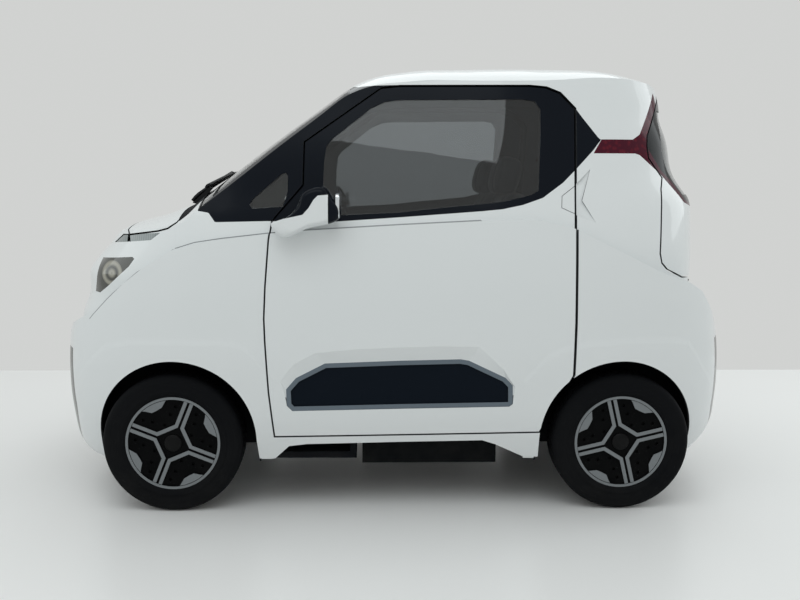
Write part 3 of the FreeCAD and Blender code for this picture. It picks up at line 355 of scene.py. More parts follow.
def turn_outward(mesh, reach=None):
    """Turns the faces outward, after joining the points that lie within a reach where one is given."""
    work = bmesh.new()
    work.from_mesh(mesh)
    if reach is not None:
        bmesh.ops.remove_doubles(work, verts=work.verts, dist=reach)
    bmesh.ops.recalc_face_normals(work, faces=work.faces)
    work.to_mesh(mesh)
    work.free()


def add_object(name, data):
    """An object linked to the scene."""
    item = bpy.data.objects.new(name, data)
    bpy.context.scene.collection.objects.link(item)
    return item


def new_piece(name, shape, body, material):
    """A piece from a shape's points and quads, which rides on a body and has one finish."""
    points, faces = shape
    mesh = bpy.data.meshes.new(name)
    mesh.from_pydata(np.asarray(points, float).reshape(-1, 3).tolist(), [], np.asarray(faces).tolist())
    turn_outward(mesh, JOIN_REACH)
    mesh.materials.append(material)
    mesh.shade_smooth()
    item = add_object(name, mesh)
    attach(item, body)
    return item


def turned(profile, centre, steps):
    """A closed profile of radius and offset turned about the Y line through a centre."""
    radius, offset = np.asarray(profile, float).T
    turn = np.linspace(0, 2 * np.pi, steps, endpoint=False)[:, None]
    along = centre[0] + radius * np.sin(turn)
    up = centre[2] + radius * np.cos(turn)
    across = centre[1] + offset + 0 * turn
    return np.stack([along, across, up], axis=-1), grid_faces(steps, len(radius), True, True)


def swept(path, half_wide, half_thick, side, power=4.0, around=24):
    """A bar with a rounded section along a path: a superellipse in each cross plane, tapered to closed ends."""
    path = np.asarray(path, float)
    along = np.gradient(path, axis=0)
    along /= np.linalg.norm(along, axis=1, keepdims=True)
    side = np.asarray(side, float) - along * (along @ np.asarray(side, float))[:, None]
    side /= np.linalg.norm(side, axis=1, keepdims=True)
    up = np.cross(along, side)
    turn = np.linspace(0, 2 * np.pi, around, endpoint=False)
    wide = signed_root(np.cos(turn), power)
    thick = signed_root(np.sin(turn), power)
    share = np.ones(len(path))
    share[[0, -1]] = 0.0
    half_wide = np.broadcast_to(half_wide, len(path)) * share
    half_thick = np.broadcast_to(half_thick, len(path)) * share
    ring = (path[:, None] + side[:, None] * (half_wide[:, None] * wide)[..., None]
            + up[:, None] * (half_thick[:, None] * thick)[..., None])
    return ring, grid_faces(len(path), around, False, True)


def dense(points, count):
    """A path through points resampled evenly, with its ends doubled for closing."""
    points = np.asarray(points, float)
    length_so_far = np.concatenate([[0], np.cumsum(np.linalg.norm(np.diff(points, axis=0), axis=1))])
    wanted = np.linspace(0, length_so_far[-1], count)
    wanted = np.concatenate([[0], wanted + 1e-4 * (wanted == 0) - 1e-4 * (wanted == wanted[-1]), [wanted[-1]]])
    return np.stack([np.interp(wanted, length_so_far, column) for column in points.T], axis=-1)


def rounded_slab(low, high, power=5.0, crown=0.0, count=28):
    """A pillow between two corners: a superellipsoid with its broad faces crowned outwards."""
    low, high = np.asarray(low, float), np.asarray(high, float)
    turn = np.linspace(0, 2 * np.pi, count * 2, endpoint=False)[:, None]
    tilt = np.linspace(-np.pi / 2, np.pi / 2, count)[None, :]
    x = signed_root(np.cos(turn), power) * signed_root(np.cos(tilt), power)
    y = signed_root(np.sin(turn), power) * signed_root(np.cos(tilt), power)
    z = signed_root(np.sin(tilt), power) + 0 * turn
    z = z * (1 + crown * (1 - np.clip(x * x, 0, 1)) * (1 - np.clip(y * y, 0, 1)))
    shape = np.stack([x, y, z], axis=-1)
    return (low + high) / 2 + shape * (high - low) / 2, grid_faces(count * 2, count, True, False)


# Shared effects.


def make_band_groups():
    """Masks between two edge curves along the car: the film, the red legs and the dark glass between them."""
    for name, low_rows, high_rows, output in BANDS:
        group, _, end = new_group(name, (), ((output, "Float"),))
        _, x, _, z = place_of(group)
        inside = over(group, x, low_rows[0][0])
        above = over(group, z, height_curve(group, x, low_rows))
        below = under(group, z, height_curve(group, x, high_rows))
        both = times(group, above, below)
        group.links.new(times(group, both, inside), end[output])


def make_form_and_shade_group():
    """Pressed shapes of the side: flares that swell over the wheel arches, and a thin dark line of painted
    shade along the shoulder crease.
    """
    group, _, end = new_group("Pressed side with painted shade", (), (("Height", "Float"), ("Line", "Float")))
    _, x, _, z = place_of(group)
    height = 0.0
    for rows in (FRONT_FLARE, REAR_FLARE):
        below = maths(group, "SUBTRACT", height_curve(group, x, rows), z)
        swell = ramp(group, below, -0.012, 0.018, interpolation_type="SMOOTHSTEP")
        near = between(group, x, rows)
        height = maths(group, "ADD", height, times(group, swell, near))
    group.links.new(height, end["Height"])
    # Painted shade: a thin dark line along the shoulder crease, only on faces that look sideways.
    off = maths(group, "ABSOLUTE", maths(group, "SUBTRACT", z, height_curve(group, x, SHOULDER)))
    facing = put(group, "SeparateXYZ", Vector=group.nodes.new("ShaderNodeTexCoord").outputs["Normal"])
    crease_shade_mask = times(group, under(group, off, SHADE_LINE_HALF),
                 over(group, maths(group, "ABSOLUTE", facing.outputs["Y"]), SHADE_LINE_FACING))
    group.links.new(times(group, crease_shade_mask, between(group, x, SHOULDER)), end["Line"])


def height_curve(tree, x, rows):
    """A height looked up along the car on a curve of straight runs."""
    low, high = rows[0][0], rows[-1][0]
    share = ramp(tree, x, low, high)
    item = tree.nodes.new("ShaderNodeFloatCurve")
    tree.links.new(share, item.inputs["Value"])
    curve = item.mapping.curves[0]
    points = [((place - low) / (high - low), height / 2) for place, height in rows]
    curve.points[0].location = points[0]
    curve.points[1].location = points[-1]
    for place, height in points[1:-1]:
        curve.points.new(place, height)
    for point in curve.points:
        point.handle_type = "VECTOR"
    item.mapping.update()
    return times(tree, item.outputs["Value"], 2.0)


def make_inner_group():
    """1 on faces that look towards the cabin's middle, 0 on those that look out."""
    group, start, end = new_group("Inner side", (("Middle height", "Float", 0.85),), (("Inner", "Float"),))
    coordinates = group.nodes.new("ShaderNodeTexCoord")
    middle = put(group, "CombineXYZ", X=0.1, Z=start["Middle height"])
    away = vector(group, "SUBTRACT", coordinates.outputs["Object"], middle.outputs[0])[0]
    facing = vector(group, "DOT_PRODUCT", away, coordinates.outputs["Normal"])["Value"]
    group.links.new(under(group, facing, -0.02), end["Inner"])


def make_dust_group():
    """Road dust: most near the ground, broken up by noise."""
    group, start, end = new_group("Road dust", (("Height", "Float", 0.35), ("Amount", "Float", 0.3)),
                                  (("Dust", "Float"),))
    place, _, _, z = place_of(group)
    clouds = noise(group, place, 9.0, 4.0, Roughness=0.65)
    fall = ramp(group, z, 0.0, start["Height"], 1.0, 0.0)
    speckle = ramp(group, clouds, 0.35, 0.75)
    mixed = times(group, fall, speckle)
    group.links.new(times(group, mixed, start["Amount"]), end["Dust"])


def make_grain_group():
    """Moulded grain: small cells, as a height for a Bump node and a mask for roughness."""
    group, start, end = new_group("Moulded grain", (("Scale", "Float", 900.0),), (("Grain", "Float"),))
    place = place_of(group)[0]
    cells = put(group, "TexVoronoi", Vector=place, Scale=start["Scale"])
    fine = noise(group, place, start["Scale"], 2.0)
    mixed = blend_number(group, 0.4, cells.outputs["Distance"], fine)
    group.links.new(mixed, end["Grain"])


def make_weave_group():
    """Plain weave: two crossed waves, one for the warp and one for the weft."""
    group, start, end = new_group("Plain weave", (("Scale", "Float", 500.0),), (("Thread", "Float"),))
    _, x, y, z = place_of(group)
    warp = maths(group, "SINE", times(group, maths(group, "ADD", x, z), start["Scale"]))
    weft = maths(group, "SINE", times(group, y, start["Scale"]))
    group.links.new(maths(group, "MULTIPLY_ADD", times(group, warp, weft), 0.5, 0.5), end["Thread"])


# Finishes.


def paint_material(name, kind="plain"):
    """Gloss body paint under lacquer, with the trim that its panel carries, grey trim inside, and on the sides
    a thin line of painted shade at the shoulder crease.
    """
    paint = settings().paint
    material, tree, shader = new_material(name)
    place, x, y, z = place_of(tree)
    side = maths(tree, "ABSOLUTE", y)
    shade = paint.body
    trim = 0.0
    height = 0.0
    if kind in ("side", "fender"):
        side_forms_and_shade = use(tree, "Pressed side with painted shade")
        height = side_forms_and_shade["Height"]
        # Painted shade: a thin dark line on the shoulder crease, where shade falls.
        shade = blend_colour(tree, times(tree, side_forms_and_shade["Line"], 0.8), shade, (0.10, 0.11, 0.12))
    if kind in ("side", "roof", "tailgate"):
        leg = times(tree, use(tree, "Red leg")["Leg"], over(tree, side, LEG_OFFSET))
        dark = use(tree, "Dark glass")["Dark"]
        shade = blend_colour(tree, leg, shade, settings().glass.lamp)
        shade = blend_colour(tree, dark, shade, BLACK)
        trim = maths(tree, "MAXIMUM", leg, dark)
    if kind == "side":
        film = use(tree, "Window film")["Film"]
        shade = blend_colour(tree, film, shade, paint.film)
        trim = maths(tree, "MAXIMUM", trim, film)
    if kind == "bumper":
        trim = insert_mask(tree, x, z)
        shade = blend_colour(tree, trim, shade, paint.insert)
    if kind == "mirror":
        pale = under(tree, z, height_curve(tree, x, CAP_EDGE))
        pale = times(tree, pale, under(tree, x, CAP_END))
        pale = times(tree, pale, over(tree, side, CAP_OFFSET))
        trim = maths(tree, "SUBTRACT", 1.0, pale)
        shade = blend_colour(tree, trim, shade, paint.film)
    inner = use(tree, "Inner side")["Inner"]
    if kind == "mirror":
        inner = 0.0
    shade = dusted(tree, shade, 0.30, 0.10, (0.42, 0.40, 0.37))
    shade = blend_colour(tree, inner, shade, (0.10, 0.105, 0.11))
    ripple = noise(tree, place, 320.0, 1.0)
    bump = bumped(tree, paint.flake, 0.001, ripple)
    form = bumped(tree, 0.5, 0.006, height, Normal=bump)
    gloss = times(tree, maths(tree, "SUBTRACT", 1.0, inner), maths(tree, "MULTIPLY_ADD", trim, -0.95, 1.0))
    dress(tree, shader, Base_Color=shade, Normal=form, Specular_IOR_Level=0.08,
          Roughness=blend_number(tree, inner, blend_number(tree, trim, 0.30, 0.16), 0.6),
          Coat_Weight=times(tree, gloss, 0.5), Coat_Roughness=0.04)
    return material


def insert_mask(tree, x, z):
    """1 on the dark insert across a bumper's end face."""
    rear = over(tree, x, 0.0)
    floor = maths(tree, "MULTIPLY_ADD", rear, INSERT_LOW_REAR - INSERT_LOW, INSERT_LOW)
    ceiling = maths(tree, "MULTIPLY_ADD", rear, INSERT_HIGH_REAR - INSERT_HIGH, INSERT_HIGH)
    low = over(tree, z, floor)
    high = under(tree, z, ceiling)
    far = over(tree, maths(tree, "ABSOLUTE", x), INSERT_START)
    return times(tree, far, times(tree, low, high))


def glass_material(name, tint):
    """Tinted safety glass, polished, with painted shade that darkens it a little towards its lower edge."""
    material, tree, shader = new_material(name)
    place, _, _, z = place_of(tree)
    smear = noise(tree, place, 3.0, 2.0)
    # Painted shade: the tint darkens a little towards the lower edge of the glass.
    depth = ramp(tree, z, 1.05, 1.5, 0.92)
    mottle = maths(tree, "MULTIPLY_ADD", smear, 0.04, 0.97)
    amount = times(tree, depth, mottle)
    dress(tree, shader, Base_Color=blend_colour(tree, amount, (0.0, 0.0, 0.0), tint), Roughness=0.0,
          Transmission_Weight=1.0, IOR=1.5)
    return material


def plastic_material(name, shade, rough, scale=900.0, strength=0.25, level=0.3):
    """Moulded plastic with a fine grain and a little dust."""
    material, tree, shader = new_material(name)
    grain = use(tree, "Moulded grain", Scale=scale)["Grain"]
    bump = bumped(tree, strength, 0.0005, grain)
    dress(tree, shader, Base_Color=dusted(tree, shade, 0.6, 0.25, (0.05, 0.048, 0.044)),
          Roughness=maths(tree, "MULTIPLY_ADD", grain, 0.12, rough), Normal=bump, Specular_IOR_Level=level)
    return material


def cover_material():
    """Wheel cover: grey raised bands and lip, black between them."""
    material, tree, shader = new_material("wheel_cover")
    place, _, y, _ = place_of(tree)
    raised = over(tree, maths(tree, "ABSOLUTE", y), BAND_OFFSET)
    fine = noise(tree, place, 900.0, 2.0)
    shade = blend_colour(tree, raised, (0.0015, 0.0017, 0.002), (0.20, 0.215, 0.225))
    shade = dusted(tree, shade, 0.5, 0.06, (0.09, 0.085, 0.08))
    bump = bumped(tree, 0.1, 0.0003, fine)
    dress(tree, shader, Base_Color=shade, Normal=bump, Specular_IOR_Level=0.04,
          Metallic=times(tree, raised, 0.45),
          Roughness=blend_number(tree, raised, 0.35, 0.38))
    return material


def inset_material():
    """Door inset: a blue-grey metallic frame round a dark ribbed panel."""
    material, tree, shader = new_material("door_inset")
    place, _, y, z = place_of(tree)
    frame_face = over(tree, maths(tree, "ABSOLUTE", y), FRAME_OFFSET)
    fine = noise(tree, place, 600.0, 3.0)
    rib = maths(tree, "SINE", times(tree, z, 900.0))
    height = blend_number(tree, frame_face, rib, fine)
    bump = bumped(tree, 0.08, 0.0004, height)
    dress(tree, shader, Base_Color=blend_colour(tree, frame_face, (0.004, 0.007, 0.012), (0.14, 0.17, 0.20)),
          Metallic=times(tree, frame_face, 0.5), Normal=bump, Specular_IOR_Level=0.05,
          Roughness=blend_number(tree, frame_face, 0.3, 0.32))
    return material


def metal_material(name, shade, rough, metallic=1.0):
    """Cast or drawn metal with fine mottling and dust low down."""
    material, tree, shader = new_material(name)
    place = place_of(tree)[0]
    mottle = noise(tree, place, 160.0, 5.0)
    bump = bumped(tree, 0.2, 0.0006, mottle)
    dress(tree, shader, Base_Color=dusted(tree, shade, 0.5, 0.5, (0.22, 0.20, 0.17)),
          Metallic=metallic, Roughness=maths(tree, "MULTIPLY_ADD", mottle, 0.15, rough),
          Normal=bump)
    return material


def rubber_material():
    """Tyre rubber, a little paler where it meets the road."""
    material, tree, shader = new_material("tyre_rubber")
    place = place_of(tree)[0]
    fine = noise(tree, place, 700.0, 3.0)
    bump = bumped(tree, 0.2, 0.0004, fine)
    dress(tree, shader, Base_Color=dusted(tree, (0.0045, 0.005, 0.006), 0.5, 0.25, (0.030, 0.029, 0.027)),
          Roughness=maths(tree, "MULTIPLY_ADD", fine, 0.2, 0.6), Normal=bump,
          Specular_IOR_Level=0.06)
    return material


def fabric_material(name="seat_fabric", low=(0.045, 0.046, 0.05), high=(0.085, 0.087, 0.092), scale=1400.0):
    """Woven cloth or webbing with a soft sheen."""
    material, tree, shader = new_material(name)
    thread = use(tree, "Plain weave", Scale=scale)["Thread"]
    bump = bumped(tree, 0.5, 0.0006, thread)
    dress(tree, shader, Base_Color=blend_colour(tree, thread, low, high),
          Roughness=0.85, Sheen_Weight=0.3, Normal=bump)
    return material


def lamp_material(name, shade, lit=(0.0, 0.0, 0.0)):
    """Moulded lamp lens: fine flutes, and paler cells in rows behind the surface."""
    material, tree, shader = new_material(name)
    place, _, _, z = place_of(tree)
    flute = maths(tree, "SINE", times(tree, z, 900.0))
    cells = put(tree, "TexVoronoi", Vector=place, Scale=60.0)
    pale = ramp(tree, cells.outputs["Distance"], 0.15, 0.55, 1.0, 0.0)
    bump = bumped(tree, 0.05, 0.0005, flute)
    dress(tree, shader, Base_Color=blend_colour(tree, pale, shade, lit),
          Roughness=0.15, Coat_Weight=0.15, Normal=bump, Specular_IOR_Level=0.1)
    return material


def headlamp_material():
    """Headlamp: a silver light strip above a dark lens with a ring of paler facets."""
    material, tree, shader = new_material("headlamp")
    _, x, _, z = place_of(tree)
    strip = over(tree, z, STRIP_HEIGHT)
    centre = put(tree, "CombineXYZ", X=maths(tree, "SUBTRACT", x, LENS_CENTRE[0]), Y=0.0,
                 Z=maths(tree, "SUBTRACT", z, LENS_CENTRE[1]))
    reach = vector(tree, "LENGTH", centre.outputs[0])["Value"]
    wave = maths(tree, "SINE", times(tree, reach, 220.0))
    rings = maths(tree, "MULTIPLY_ADD", wave, 0.5, 0.5)
    near = under(tree, reach, LENS_REACH)
    cells = maths(tree, "MULTIPLY_ADD", maths(tree, "SINE", times(tree, x, 700.0)), 0.5, 0.5)
    dark = blend_colour(tree, times(tree, rings, near), (0.035, 0.037, 0.030), (0.30, 0.29, 0.24))
    silver = blend_colour(tree, cells, (0.17, 0.20, 0.20), (0.24, 0.27, 0.27))
    dress(tree, shader, Base_Color=blend_colour(tree, strip, dark, silver), Roughness=0.1, Coat_Weight=0.7,
          Specular_IOR_Level=0.4)
    return material


def assign(nodes, material):
    """Gives CAD nodes one finish."""
    for name in nodes:
        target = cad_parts[name]
        target.data.materials.clear()
        target.data.materials.append(material)


class MICROCAR_OT_finishes(Operator):
    """Gives every CAD node its finish"""
    bl_idname = "microcar.finishes"
    bl_label = "Finishes"

    def execute(self, context):
        for maker in (make_band_groups, make_form_and_shade_group, make_inner_group, make_dust_group, make_grain_group,
                      make_weave_group):
            maker()
        glass = settings().glass
        assign(["body_side_left", "body_side_right", "door_shell_left", "door_shell_right"],
               paint_material("paint_side", "side"))
        assign(["front_fenders"], paint_material("paint_fender", "fender"))
        assign(["roof_panel"], paint_material("paint_roof", "roof"))
        assign(["front_bumper", "rear_bumper"], paint_material("paint_bumper", "bumper"))
        assign(["hatch_shell"], paint_material("paint_tailgate", "tailgate"))
        assign(["door_mirror_left", "door_mirror_right"], paint_material("paint_mirror", "mirror"))
        assign(["nose_panel", "bonnet", "sills", "door_handle_left", "door_handle_right"],
               paint_material("paint_plain"))
        assign(["door_glass_left", "door_glass_right", "hatch_glass"],
               glass_material("privacy_glass", glass.tint))
        assign(["fixed_glass"], glass_material("screen_glass", glass.screen))
        assign(["tail_lamps"], lamp_material("lamp_red", glass.lamp, (0.10, 0.006, 0.016)))
        assign(["headlamps"], headlamp_material())
        assign(["cowl_panel", "arch_liners", "floor_pan"],
               plastic_material("black_plastic", (0.005, 0.006, 0.008), 0.6, level=0.06))
        assign(["dashboard", "steering_wheel"],
               plastic_material("cabin_plastic", (0.05, 0.052, 0.056), 0.5, 700.0))
        assign(["door_inset_left", "door_inset_right"], inset_material())
        assign(["front_subframe", "rear_axle", "knuckle_left", "knuckle_right"],
               metal_material("black_steel", (0.012, 0.012, 0.014), 0.5, 0.0))
        assign(["battery_pack"],
               plastic_material("battery_case", (0.004, 0.005, 0.006), 0.6, 300.0, level=0.06))
        assign(["drive_motor"], metal_material("cast_metal", (0.45, 0.46, 0.47), 0.4))
        assign(RIMS, cover_material())
        return {"FINISHED"}


class MICROCAR_OT_tyres(Operator):
    """Makes the four treaded tyres"""
    bl_idname = "microcar.tyres"
    bl_label = "Tyres"

    def execute(self, context):
        tyre = settings().tyre
        rubber = rubber_material()
        for end, side, _, x, y in WHEEL_SPOTS:
            piece = new_piece("tread_%s_%s" % (end, side), tyre_surface(tyre, (x, y, AXLE_HEIGHT)),
                              "wheel_%s_%s" % (end, side), rubber)
            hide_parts("tyre_%s_%s" % (end, side))
        return {"FINISHED"}


def tyre_surface(tyre, centre):
    """A tyre: a rounded section turned about its axle, with round grooves and slanted sipes cut into the tread.

    The depth cut is full inside three round grooves and inside slanted sipes, one to a block, and fades to
    nothing on the shoulders."""
    half = tyre.width / 2
    bead = 0.1675
    section = np.array([(bead, -0.86), (0.172, -0.93), (0.184, -0.985), (0.190, -1.00), (0.191, -0.985),
                        (0.200, -1.00), (0.214, -1.00), (0.216, -0.985), (0.219, -0.985), (0.226, -0.97),
                        (0.236, -0.92), (0.2425, -0.84), (0.2460, -0.74), (0.2468, -0.71), (0.2472, -0.67)])
    flat = np.linspace(-0.62, 0.62, 40)
    crown = tyre.radius - 0.0012 * flat ** 2 / 0.36
    middle = np.stack([crown, flat], axis=-1)
    mirror = section[::-1] * (1, -1)
    inner = np.array([(0.168, 0.80), (0.168, 0.0), (0.168, -0.80)])
    profile = np.concatenate([section, middle, mirror, inner])
    steps = tyre.blocks * 6
    turn = np.arange(steps) / steps * tyre.blocks
    offset = profile[:, 1]
    fade = np.clip((0.70 - np.abs(offset)) / 0.06, 0, 1) * (profile[:, 0] > 0.24)
    rounds = np.zeros(len(profile))
    grooves, groove_half = (-0.36, 0.0, 0.36), 0.045
    slant, sipe_share, sipe_start, sipe_depth = 0.9, 0.17, 0.06, 0.7
    for groove in grooves:
        rounds = np.maximum(rounds, np.abs(offset - groove) < groove_half)
    phase = (turn[:, None] + slant * np.abs(offset)[None, :]) % 1.0
    sipe = (phase < sipe_share) * (np.abs(offset) > sipe_start) * sipe_depth
    cut = np.maximum(rounds[None, :], sipe) * fade[None, :] * tyre.groove
    radius = profile[:, 0][None, :] - cut
    angle = 2 * np.pi * turn[:, None] / tyre.blocks
    points = np.stack([centre[0] + radius * np.sin(angle), centre[1] + half * offset + 0 * radius,
                       centre[2] + radius * np.cos(angle)], axis=-1)
    return points, grid_faces(steps, len(profile), True, True)


class MICROCAR_OT_mirrors(Operator):
    """Makes the glass of the door mirrors"""
    bl_idname = "microcar.mirrors"
    bl_label = "Mirror glasses"

    def execute(self, context):
        silver, tree, shader = new_material("mirror_silver")
        place = place_of(tree)[0]
        haze = noise(tree, place, 40.0, 3.0)
        dress(tree, shader, Base_Color=(0.75, 0.78, 0.80), Metallic=1.0,
              Roughness=times(tree, haze, 0.06))
        for side, sign in SIDES:
            near, far = sorted((sign * 0.748, sign * 0.826))
            shape = rounded_slab((-0.222, near, 1.048), (-0.2035, far, 1.132), 5.0)
            new_piece("mirror_glass_" + side, shape, "door_" + side, silver)
        return {"FINISHED"}


class MICROCAR_OT_wipers(Operator):
    """Makes the wiper arms and blades"""
    bl_idname = "microcar.wipers"
    bl_label = "Wipers"

    def execute(self, context):
        black = plastic_material("wiper_black", (0.006, 0.006, 0.007), 0.5, level=0.2)
        for name, y in (("near", -0.455), ("far", 0.005)):
            arm = dense([(-0.758, y, 1.098), (-0.742, y, 1.118), (-0.715, y + 0.03, 1.140),
                         (-0.672, y + 0.12, 1.176), (-0.640, y + 0.20, 1.203)], 16)
            shape = swept(arm, 0.009, 0.006, (0, 0.5, -0.5))
            new_piece("wiper_arm_" + name, shape, "body", black)
            blade = dense([(-0.690, y - 0.10, 1.153), (-0.655, y + 0.10, 1.187), (-0.640, y + 0.20, 1.200),
                           (-0.636, y + 0.38, 1.205)], 20)
            shape = swept(blade, 0.005, 0.008, (0.7, 0.1, -0.5))
            new_piece("wiper_blade_" + name, shape, "body", black)
        assign(["wipers"], black)
        return {"FINISHED"}


class MICROCAR_OT_cabin(Operator):
    """Makes the seats with their belts, the screen on the dashboard and the wheel's hub"""
    bl_idname = "microcar.cabin"
    bl_label = "Cabin"

    def execute(self, context):
        cabin = settings().cabin
        cloth = fabric_material()
        seat_pieces = []
        for side, sign in SIDES:
            centre = sign * SEAT_OFFSET
            seat_pieces += make_seat(side, centre, cabin, cloth)
            make_belt(side, sign, cabin)
        for piece in seat_pieces:
            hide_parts("seats")
        make_controls()
        return {"FINISHED"}


def pad(name, low, high, lean, cloth, channels):
    """A crowned cushion with sewn channels: a superellipsoid whose faces sink along evenly spaced lines."""
    points, faces = rounded_slab(low, high, power=4.0, crown=0.22, count=40)
    low, high = np.asarray(low, float), np.asarray(high, float)
    spot = (points - (low + high) / 2) / ((high - low) / 2)
    border, border_wide, channel_wide, sink = 0.56, 0.035, 0.03, 0.007
    across = np.abs(spot[..., 1])
    seam = np.exp(-((across - border) / border_wide) ** 2)
    for channel in channels:
        seam = np.maximum(seam, np.exp(-((spot[..., 0] - channel) / channel_wide) ** 2) * (across < border))
    points[..., 2] -= sink * seam * np.sign(spot[..., 2])
    pivot = np.array((low[0], 0, low[2])) if lean < 0 else np.array((high[0], 0, low[2]))
    turn = math.radians(lean)
    along, up = points[..., 0] - pivot[0], points[..., 2] - pivot[2]
    points[..., 0] = pivot[0] + along * math.cos(turn) + up * math.sin(turn)
    points[..., 2] = pivot[2] - along * math.sin(turn) + up * math.cos(turn)
    piece = new_piece(name, (points, faces), "body", cloth)
    return piece


def make_seat(side, centre, cabin, cloth):
    """Cushion, back and head restraint of one seat."""
    half = cabin.seat_width / 2
    cushion = pad("seat_cushion_" + side, (-0.165, centre - half, 0.452), (0.335, centre + half, 0.60),
                  CUSHION_LEAN, cloth, (-0.55, -0.1, 0.35))
    back_half = half * 0.96
    back = pad("seat_back_" + side, (-0.18, centre - back_half, 0.0), (0.44, centre + back_half, 0.13), 0,
               cloth, (-0.5, 0.0, 0.5))
    rest = pad("head_restraint_" + side, (0.0, centre - 0.13, 0.0), (0.15, centre + 0.13, 0.09), 0, cloth, ())
    stand_up(back, BACK_FOOT, BACK_LEAN)
    stand_up(rest, REST_FOOT, BACK_LEAN)
    return [cushion, back, rest]


def stand_up(piece, foot, lean):
    """Turns a lying pad to stand at a foot place, leaning back by some degrees."""
    count = len(piece.data.vertices)
    points = np.empty(count * 3)
    piece.data.vertices.foreach_get("co", points)
    points = points.reshape(-1, 3)
    start = points[:, 0].min()
    turn = math.radians(lean)
    up, thick = points[:, 0] - start, points[:, 2]
    points[:, 0] = foot[0] + up * math.sin(turn) + thick * math.cos(turn)
    points[:, 2] = foot[1] + up * math.cos(turn) - thick * math.sin(turn)
    piece.data.vertices.foreach_set("co", points.ravel())
    turn_outward(piece.data)


def make_belt(side, sign, cabin):
    """A flat belt from the pillar over the seat's outer edge down to the floor."""
    webbing = fabric_material("belt_webbing", (0.02, 0.02, 0.022), (0.035, 0.035, 0.038), 2200.0)
    path = dense([(0.47, sign * 0.585, 1.12), (0.47, sign * 0.590, 0.95), (0.46, sign * 0.595, 0.75),
                  (0.45, sign * 0.600, 0.52), (0.44, sign * 0.600, 0.42)], 24)
    shape = swept(path, cabin.belt / 2, 0.0012, (1, 0, 0), 6.0)
    new_piece("belt_" + side, shape, "body", webbing)


def make_controls():
    """A wide screen on the dashboard and the hub on the steering wheel."""
    dark = plastic_material("screen_black", (0.004, 0.005, 0.007), 0.12, 300.0, 0.02)
    shape = rounded_slab((-0.385, -0.42, 0.978), (-0.360, 0.06, 1.088), 8.0)
    new_piece("dash_screen", shape, "body", dark)
    trim = plastic_material("hub_plastic", (0.03, 0.031, 0.034), 0.5, 700.0)
    rake = math.radians(WHEEL_RAKE)
    points, faces = rounded_slab((-0.062, -0.065, -0.008), (0.062, 0.065, 0.034), 3.2, 0.2)
    lean = np.array(((math.cos(rake), 0, math.sin(rake)), (0, 1, 0), (-math.sin(rake), 0, math.cos(rake))))
    points = points @ lean.T + np.array(HUB_PLACE)
    new_piece("wheel_hub_pad", (points, faces), "steering_wheel", trim)


class MICROCAR_OT_seals(Operator):
    """Makes the rubber seals behind the gaps of the doors"""
    bl_idname = "microcar.seals"
    bl_label = "Door seals"

    def execute(self, context):
        rubber = plastic_material("seal_rubber", (0.004, 0.0045, 0.005), 0.7, level=0.05)
        for side, sign in SIDES:
            path = dense([(x, 0.0, z) for x, z in SEAL_PATH], 160)
            points, faces = ribbon(path, *SEAL_SECTION)
            reach = (1 - np.abs(points[..., 0] / SEAL_REACH) ** PLAN_POWER) ** (1 / PLAN_POWER)
            inner = np.interp(points[..., 2], SEAL_HEIGHTS, SEAL_WIDTHS) * reach - SEAL_DEPTH
            points[..., 1] = sign * (inner + points[..., 1])
            new_piece("door_seal_" + side, (points, faces), "body", rubber)
        return {"FINISHED"}


def ribbon(path, half_wide, half_thick):
    """A flat strip along a path: each cross section is a rounded oblong, wide in the side's plane."""
    along = np.gradient(path, axis=0)
    along /= np.linalg.norm(along, axis=1, keepdims=True)
    cross = np.stack([along[:, 2], 0 * along[:, 0], -along[:, 0]], axis=-1)
    turn = np.linspace(0, 2 * np.pi, 16, endpoint=False)
    share = np.ones((len(path), 1))
    share[[0, -1]] = 0.0
    wide = np.sign(np.cos(turn)) * np.abs(np.cos(turn)) ** 0.6 * half_wide
    points = path[:, None] + cross[:, None] * (share * wide)[..., None]
    points[..., 1] += share * np.sin(turn) * half_thick
    return points, grid_faces(len(path), 16, False, True)


class MICROCAR_OT_trim(Operator):
    """Makes the hub caps of the wheels and the front tips of the light strips"""
    bl_idname = "microcar.trim"
    bl_label = "Caps and strip tips"

    def execute(self, context):
        black = plastic_material("cap_black", (0.003, 0.0032, 0.0036), 0.25, 500.0, 0.03, 0.1)
        profile = [(0.0, 0.0), (0.030, 0.0), (0.031, 0.004), (0.029, 0.0065), (0.012, 0.0072), (0.0, 0.0074)]
        for end, side, sign, x, y in WHEEL_SPOTS:
            points, faces = turned(profile, (x, 0, AXLE_HEIGHT), 40)
            points[..., 1] = y + sign * HUB_FACE + sign * points[..., 1]
            new_piece("hub_cap_%s_%s" % (end, side), (points, faces), "wheel_%s_%s" % (end, side), black)
        lens = bpy.data.materials["headlamp"]
        for side, sign in SIDES:
            shape = strip_tip(sign)
            new_piece("strip_tip_" + side, shape, "body", lens)
        return {"FINISHED"}


